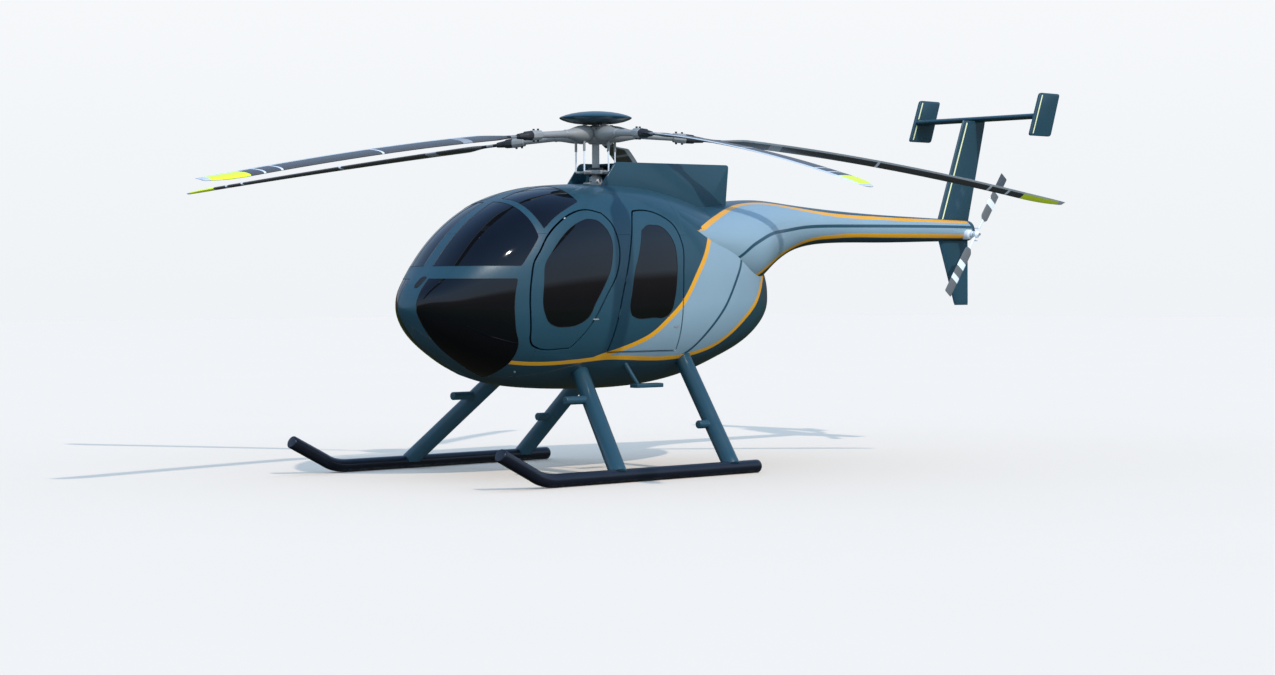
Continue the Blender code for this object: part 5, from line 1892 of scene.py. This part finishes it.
# Console: its side outline, then hood and dial board
CONSOLE = [(-1.14, FLOOR_TOP), (-1.14, 0.95), (-1.38, 1.12), (-1.42, 1.42), (-1.52, 1.42),
           (-1.64, 1.34), (-1.64, 1.08), (-1.28, FLOOR_TOP)]
HOOD = [(-1.375, 1.405), (-1.372, 1.428), (-1.560, 1.428), (-1.575, 1.410)]
DIAL_BOARD = [(-1.384, 1.150), (-1.379, 1.150), (-1.411, 1.392), (-1.416, 1.392)]
PEDAL = [(-1.322, 0.905), (-1.312, 0.905), (-1.272, 1.005), (-1.282, 1.005)]
# Levers: name, stations and heights, radius at each, sides, finish
STICK = [
    ("stick", [(-1.13, 0.826), (-1.125, 0.95), (-1.095, 1.08), (-1.075, 1.20), (-1.075, 1.25)],
     [0.012, 0.011, 0.011, 0.011, 0.011], 20, metal),
    ("boot", [(-1.13, 0.8262), (-1.13, 0.845), (-1.128, 0.87), (-1.127, 0.885)],
     [0.048, 0.034, 0.020, 0.013], 24, trim),
    ("grip", [(-1.075, 1.225), (-1.074, 1.235), (-1.075, 1.28), (-1.082, 1.33),
              (-1.090, 1.345)], [0.013, 0.018, 0.019, 0.021, 0.012], 20, trim),
]
COLLECTIVE = [
    ("lever", [(-0.72, 0.8265), (-0.80, 0.90), (-0.95, 0.99), (-1.02, 1.03)], [0.012] * 4, 20,
     metal),
    ("grip", [(-0.965, 0.998), (-0.975, 1.004), (-1.06, 1.053), (-1.07, 1.059)],
     [0.013, 0.017, 0.017, 0.011], 20, trim),
]


def lever_parts(x, parts):
    """The tubes of one lever, at a distance from the centre plane."""
    return [swept(name, [(x, BODY_Y + station, z) for station, z in path], radii, sides, finish)
            for name, path, radii, sides, finish in parts]


def dial(centre, up, facing, radius, angle, marks):
    """A bezel with its ring of marks and a needle."""
    rim = [(radius - 0.004, 0.0), (radius, 0.001), (radius, 0.004), (radius - 0.0015, 0.0052),
           (radius - 0.004, 0.0045), (radius - 0.005, 0.002), (0.001, 0.002)]
    tree, sockets = marks
    ring = from_nodes("marks", tree, {sockets["Radius"]: radius - 0.009, sockets["Count"]: 24})
    ring.data.transform(Matrix.Translation(centre + facing * 0.0022)
                        @ facing.to_track_quat("Z", "Y").to_matrix().to_4x4())
    tip = centre + (Vector((sin(angle), 0, 0)) + up * cos(angle)) * (radius - 0.011)
    return [turned("bezel", rim, centre, facing, 32, dark_metal), ring,
            rod("needle", centre + facing * 0.003, tip + facing * 0.003, 0.0008, 0.0003, 8,
                white_paint)]


def cockpit():
    """Instrument console with its dials, the sticks, the collective lever and the pedals."""
    boards = [slab("body", CONSOLE, -0.13, 0.13, 0.008, 0.022, trim),
              slab("hood", HOOD, -0.142, 0.142, 0.006, 0.010, trim),
              slab("board", DIAL_BOARD, -0.118, 0.118, 0.002, 0.0, dark_metal)]
    dress(joined("instrument_console_skin", boards), "airframe", "grey_trim",
          "instrument_console")
    facing = Vector((0, 1.0, 0.13)).normalized()
    up = Vector((0, -0.13, 1.0)).normalized()
    origin = Vector((0, BODY_Y - 1.396, 1.272))
    marks = dial_nodes(white_paint)
    pieces = []
    # Rows of dials: height on the board, radius, distances across
    for row, radius, columns in ((0.082, 0.030, (-0.075, 0.0, 0.075)),
                                 (0.006, 0.034, (-0.075, 0.075)),
                                 (-0.072, 0.030, (-0.075, 0.0, 0.075))):
        for x in columns:
            centre = origin + Vector((x, 0, 0)) + up * row + facing * 0.002
            pieces += dial(centre, up, facing, radius, 1.1 + 9.0 * x + 20.0 * row, marks)
    dress(joined("instrument_dials", pieces), "airframe", "grey_trim")
    pieces = []
    for x in (SEAT_X, -SEAT_X):
        pieces += lever_parts(x, STICK)
        for middle in (x - 0.075, x + 0.075):
            pieces.append(slab("pedal", PEDAL, middle - 0.036, middle + 0.036, 0.003, 0.004,
                               dark_metal))
            pieces.append(rod("pedal_arm", (middle, BODY_Y - 1.235, 0.8262),
                              (middle, BODY_Y - 1.303, 0.955), 0.008, 0.002, 14, metal))
    pieces += lever_parts(0.0, COLLECTIVE)
    dress(joined("flight_controls", pieces), "airframe", "satin_metal")


BEARING = [(0.030, 2.26), (0.104, 2.26), (0.105, 2.332), (0.101, 2.336), (0.060, 2.3375),
           (0.0535, 2.345), (0.052, 2.379), (0.048, 2.384), (0.0352, 2.384), (0.0350, 2.36)]


def bearing():
    """The fixed collar round the mast, with its ring of nuts."""
    y = BODY_Y + MAST_STATION
    collar = turned("collar", BEARING, (0, y, 0), sides=56, material=metal)
    nuts = [turned("nut", rounded_profile(0.0075, 2.335, 2.345, 0.001),
                   (0.085 * cos(a), y + 0.085 * sin(a), 0), sides=6, material=dark_metal)
            for a in circle(10)]
    combine(collar, hull_solid(-0.003), "DIFFERENCE")
    dress(joined("mast_bearing_skin", [shade(collar)] + nuts), "airframe", "satin_metal",
          "mast_bearing")


fuselage()
tail_boom()
rotor_fairing()
tail_surfaces()
tail_rotor()
main_blades()
rotor_head()
landing_gear()
cabin_steps()
bearing()
skin_details()
cockpit()
seats()

# Finishes of the solids that stay, by words in their names: the last row that fits decides
NODE_FINISHES = [
    (("",), trim), (("cabin_floor",), carpet), (("rear_bulkhead",), lining),
    (("strut", "cabin_step", "fin", "stabilizer", "fairing", "cap", "boom"), paint),
    (("skid",), skid_paint),
    (("rotor_head", "bearing", "gearbox", "tail_rotor", "engine"), metal),
]
for node_name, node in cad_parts.items():
    fitting = [finish for words, finish in NODE_FINISHES
               if any(word in node_name for word in words)]
    for material_slot in node.material_slots:
        material_slot.material = fitting[-1]

# Colours over the sky's height, 0 straight down and 1 straight up: what lights the machine,
# what its gloss mirrors, and what the camera sees
LIT_SKY = [(0.0, (0.38, 0.46, 0.50)), (0.46, (0.38, 0.46, 0.50)), (0.53, (1.10, 1.35, 1.62)),
           (0.70, (0.95, 1.32, 1.75)), (1.0, (0.66, 1.06, 1.62))]
MIRRORED_SKY = [
    (0.0, (0.020, 0.020, 0.018)), (0.30, (0.022, 0.026, 0.016)), (0.47, (0.030, 0.045, 0.012)),
    (0.505, (0.060, 0.050, 0.040)), (0.545, (0.10, 0.085, 0.075)), (0.57, (0.30, 0.36, 0.44)),
    (0.70, (0.26, 0.38, 0.56)), (0.84, (0.12, 0.22, 0.42)), (1.0, (0.05, 0.11, 0.26))]
SEEN_SKY = [(0.0, (0.865, 0.896, 0.925)), (0.5, (0.865, 0.896, 0.925)),
            (0.56, (0.93, 0.945, 0.965)), (0.62, (0.97, 0.985, 0.99)),
            (1.0, (0.985, 0.995, 1.0))]
TO_SUN = Vector((0.731, -0.096, 0.676))


def studio():
    """Pale floor, a plain sky that lights the paint, and one soft key light."""
    mesh = bpy.data.meshes.new("studio_floor")
    reach = 90.0
    mesh.from_pydata([(-reach, -reach, 0), (reach, -reach, 0), (reach, reach, 0),
                      (-reach, reach, 0)], [], [(0, 1, 2, 3)])
    floor = in_scene("studio_floor", mesh)
    finish = Finish("studio_floor_finish", Specular_IOR_Level=0.0)
    finish.feed(Base_Color=finish.mix(finish.noise(0.4), (0.650, 0.525, 0.428),
                                      (0.660, 0.535, 0.438)),
                Roughness=0.9 + 0.05 * finish.noise(2.0))
    mesh.materials.append(finish.material)
    floor.visible_diffuse = False
    floor.visible_glossy = False
    world = bpy.data.worlds.new("studio")
    bpy.context.scene.world = world
    world.use_nodes = True
    sky = Wire(world.node_tree)
    height = sky.node("ShaderNodeSeparateXYZ", {}, {0: sky.node("ShaderNodeTexCoord")}, 2)
    lit, mirrored_sky, seen = [
        height.node("ShaderNodeValToRGB", {"stops": stops}, {0: height * 0.5 + 0.5})
        for stops in (LIT_SKY, MIRRORED_SKY, SEEN_SKY)]
    to_camera, glossy = [sky.node("ShaderNodeLightPath", output=output) for output in (0, 3)]
    for ray, own in ((glossy, mirrored_sky), (to_camera, seen)):
        lit = sky.node("ShaderNodeMix", {"data_type": "RGBA"}, {0: ray, 6: lit, 7: own}, 2)
    plug(world.node_tree, world.node_tree.nodes["Background"].inputs["Color"], lit)
    light = bpy.data.lights.new("key_light", "SUN")
    light.energy = 2.4
    light.angle = radians(1.2)
    light.color = (1.0, 0.97, 0.92)
    key = in_scene("key_light", light)
    key.rotation_euler = TO_SUN.to_track_quat("Z", "Y").to_euler()
    bpy.context.scene.view_settings.view_transform = "Standard"


def camera():
    """The photograph's view: 35 mm frame width, lens, place and turns as matched to it."""
    lens, yaw, pitch, roll = 74.07, radians(45.353), radians(1.088), radians(-0.186)
    data = bpy.data.cameras.new("camera")
    data.sensor_width = 36.0
    data.lens = lens
    data.clip_end = 200.0
    obj = in_scene("camera", data)
    back = Vector((sin(yaw) * cos(pitch), -cos(yaw) * cos(pitch), sin(pitch)))
    right = (-back).cross(Vector((0, 0, 1))).normalized()
    up = right.cross(-back)
    across = cos(roll) * right + sin(roll) * up
    upward = cos(roll) * up - sin(roll) * right
    turned = Matrix((across, upward, back)).transposed().to_4x4()
    obj.matrix_world = Matrix.Translation((15.476, -14.844 + BODY_Y, 1.480)) @ turned
    bpy.context.scene.camera = obj


studio()
camera()
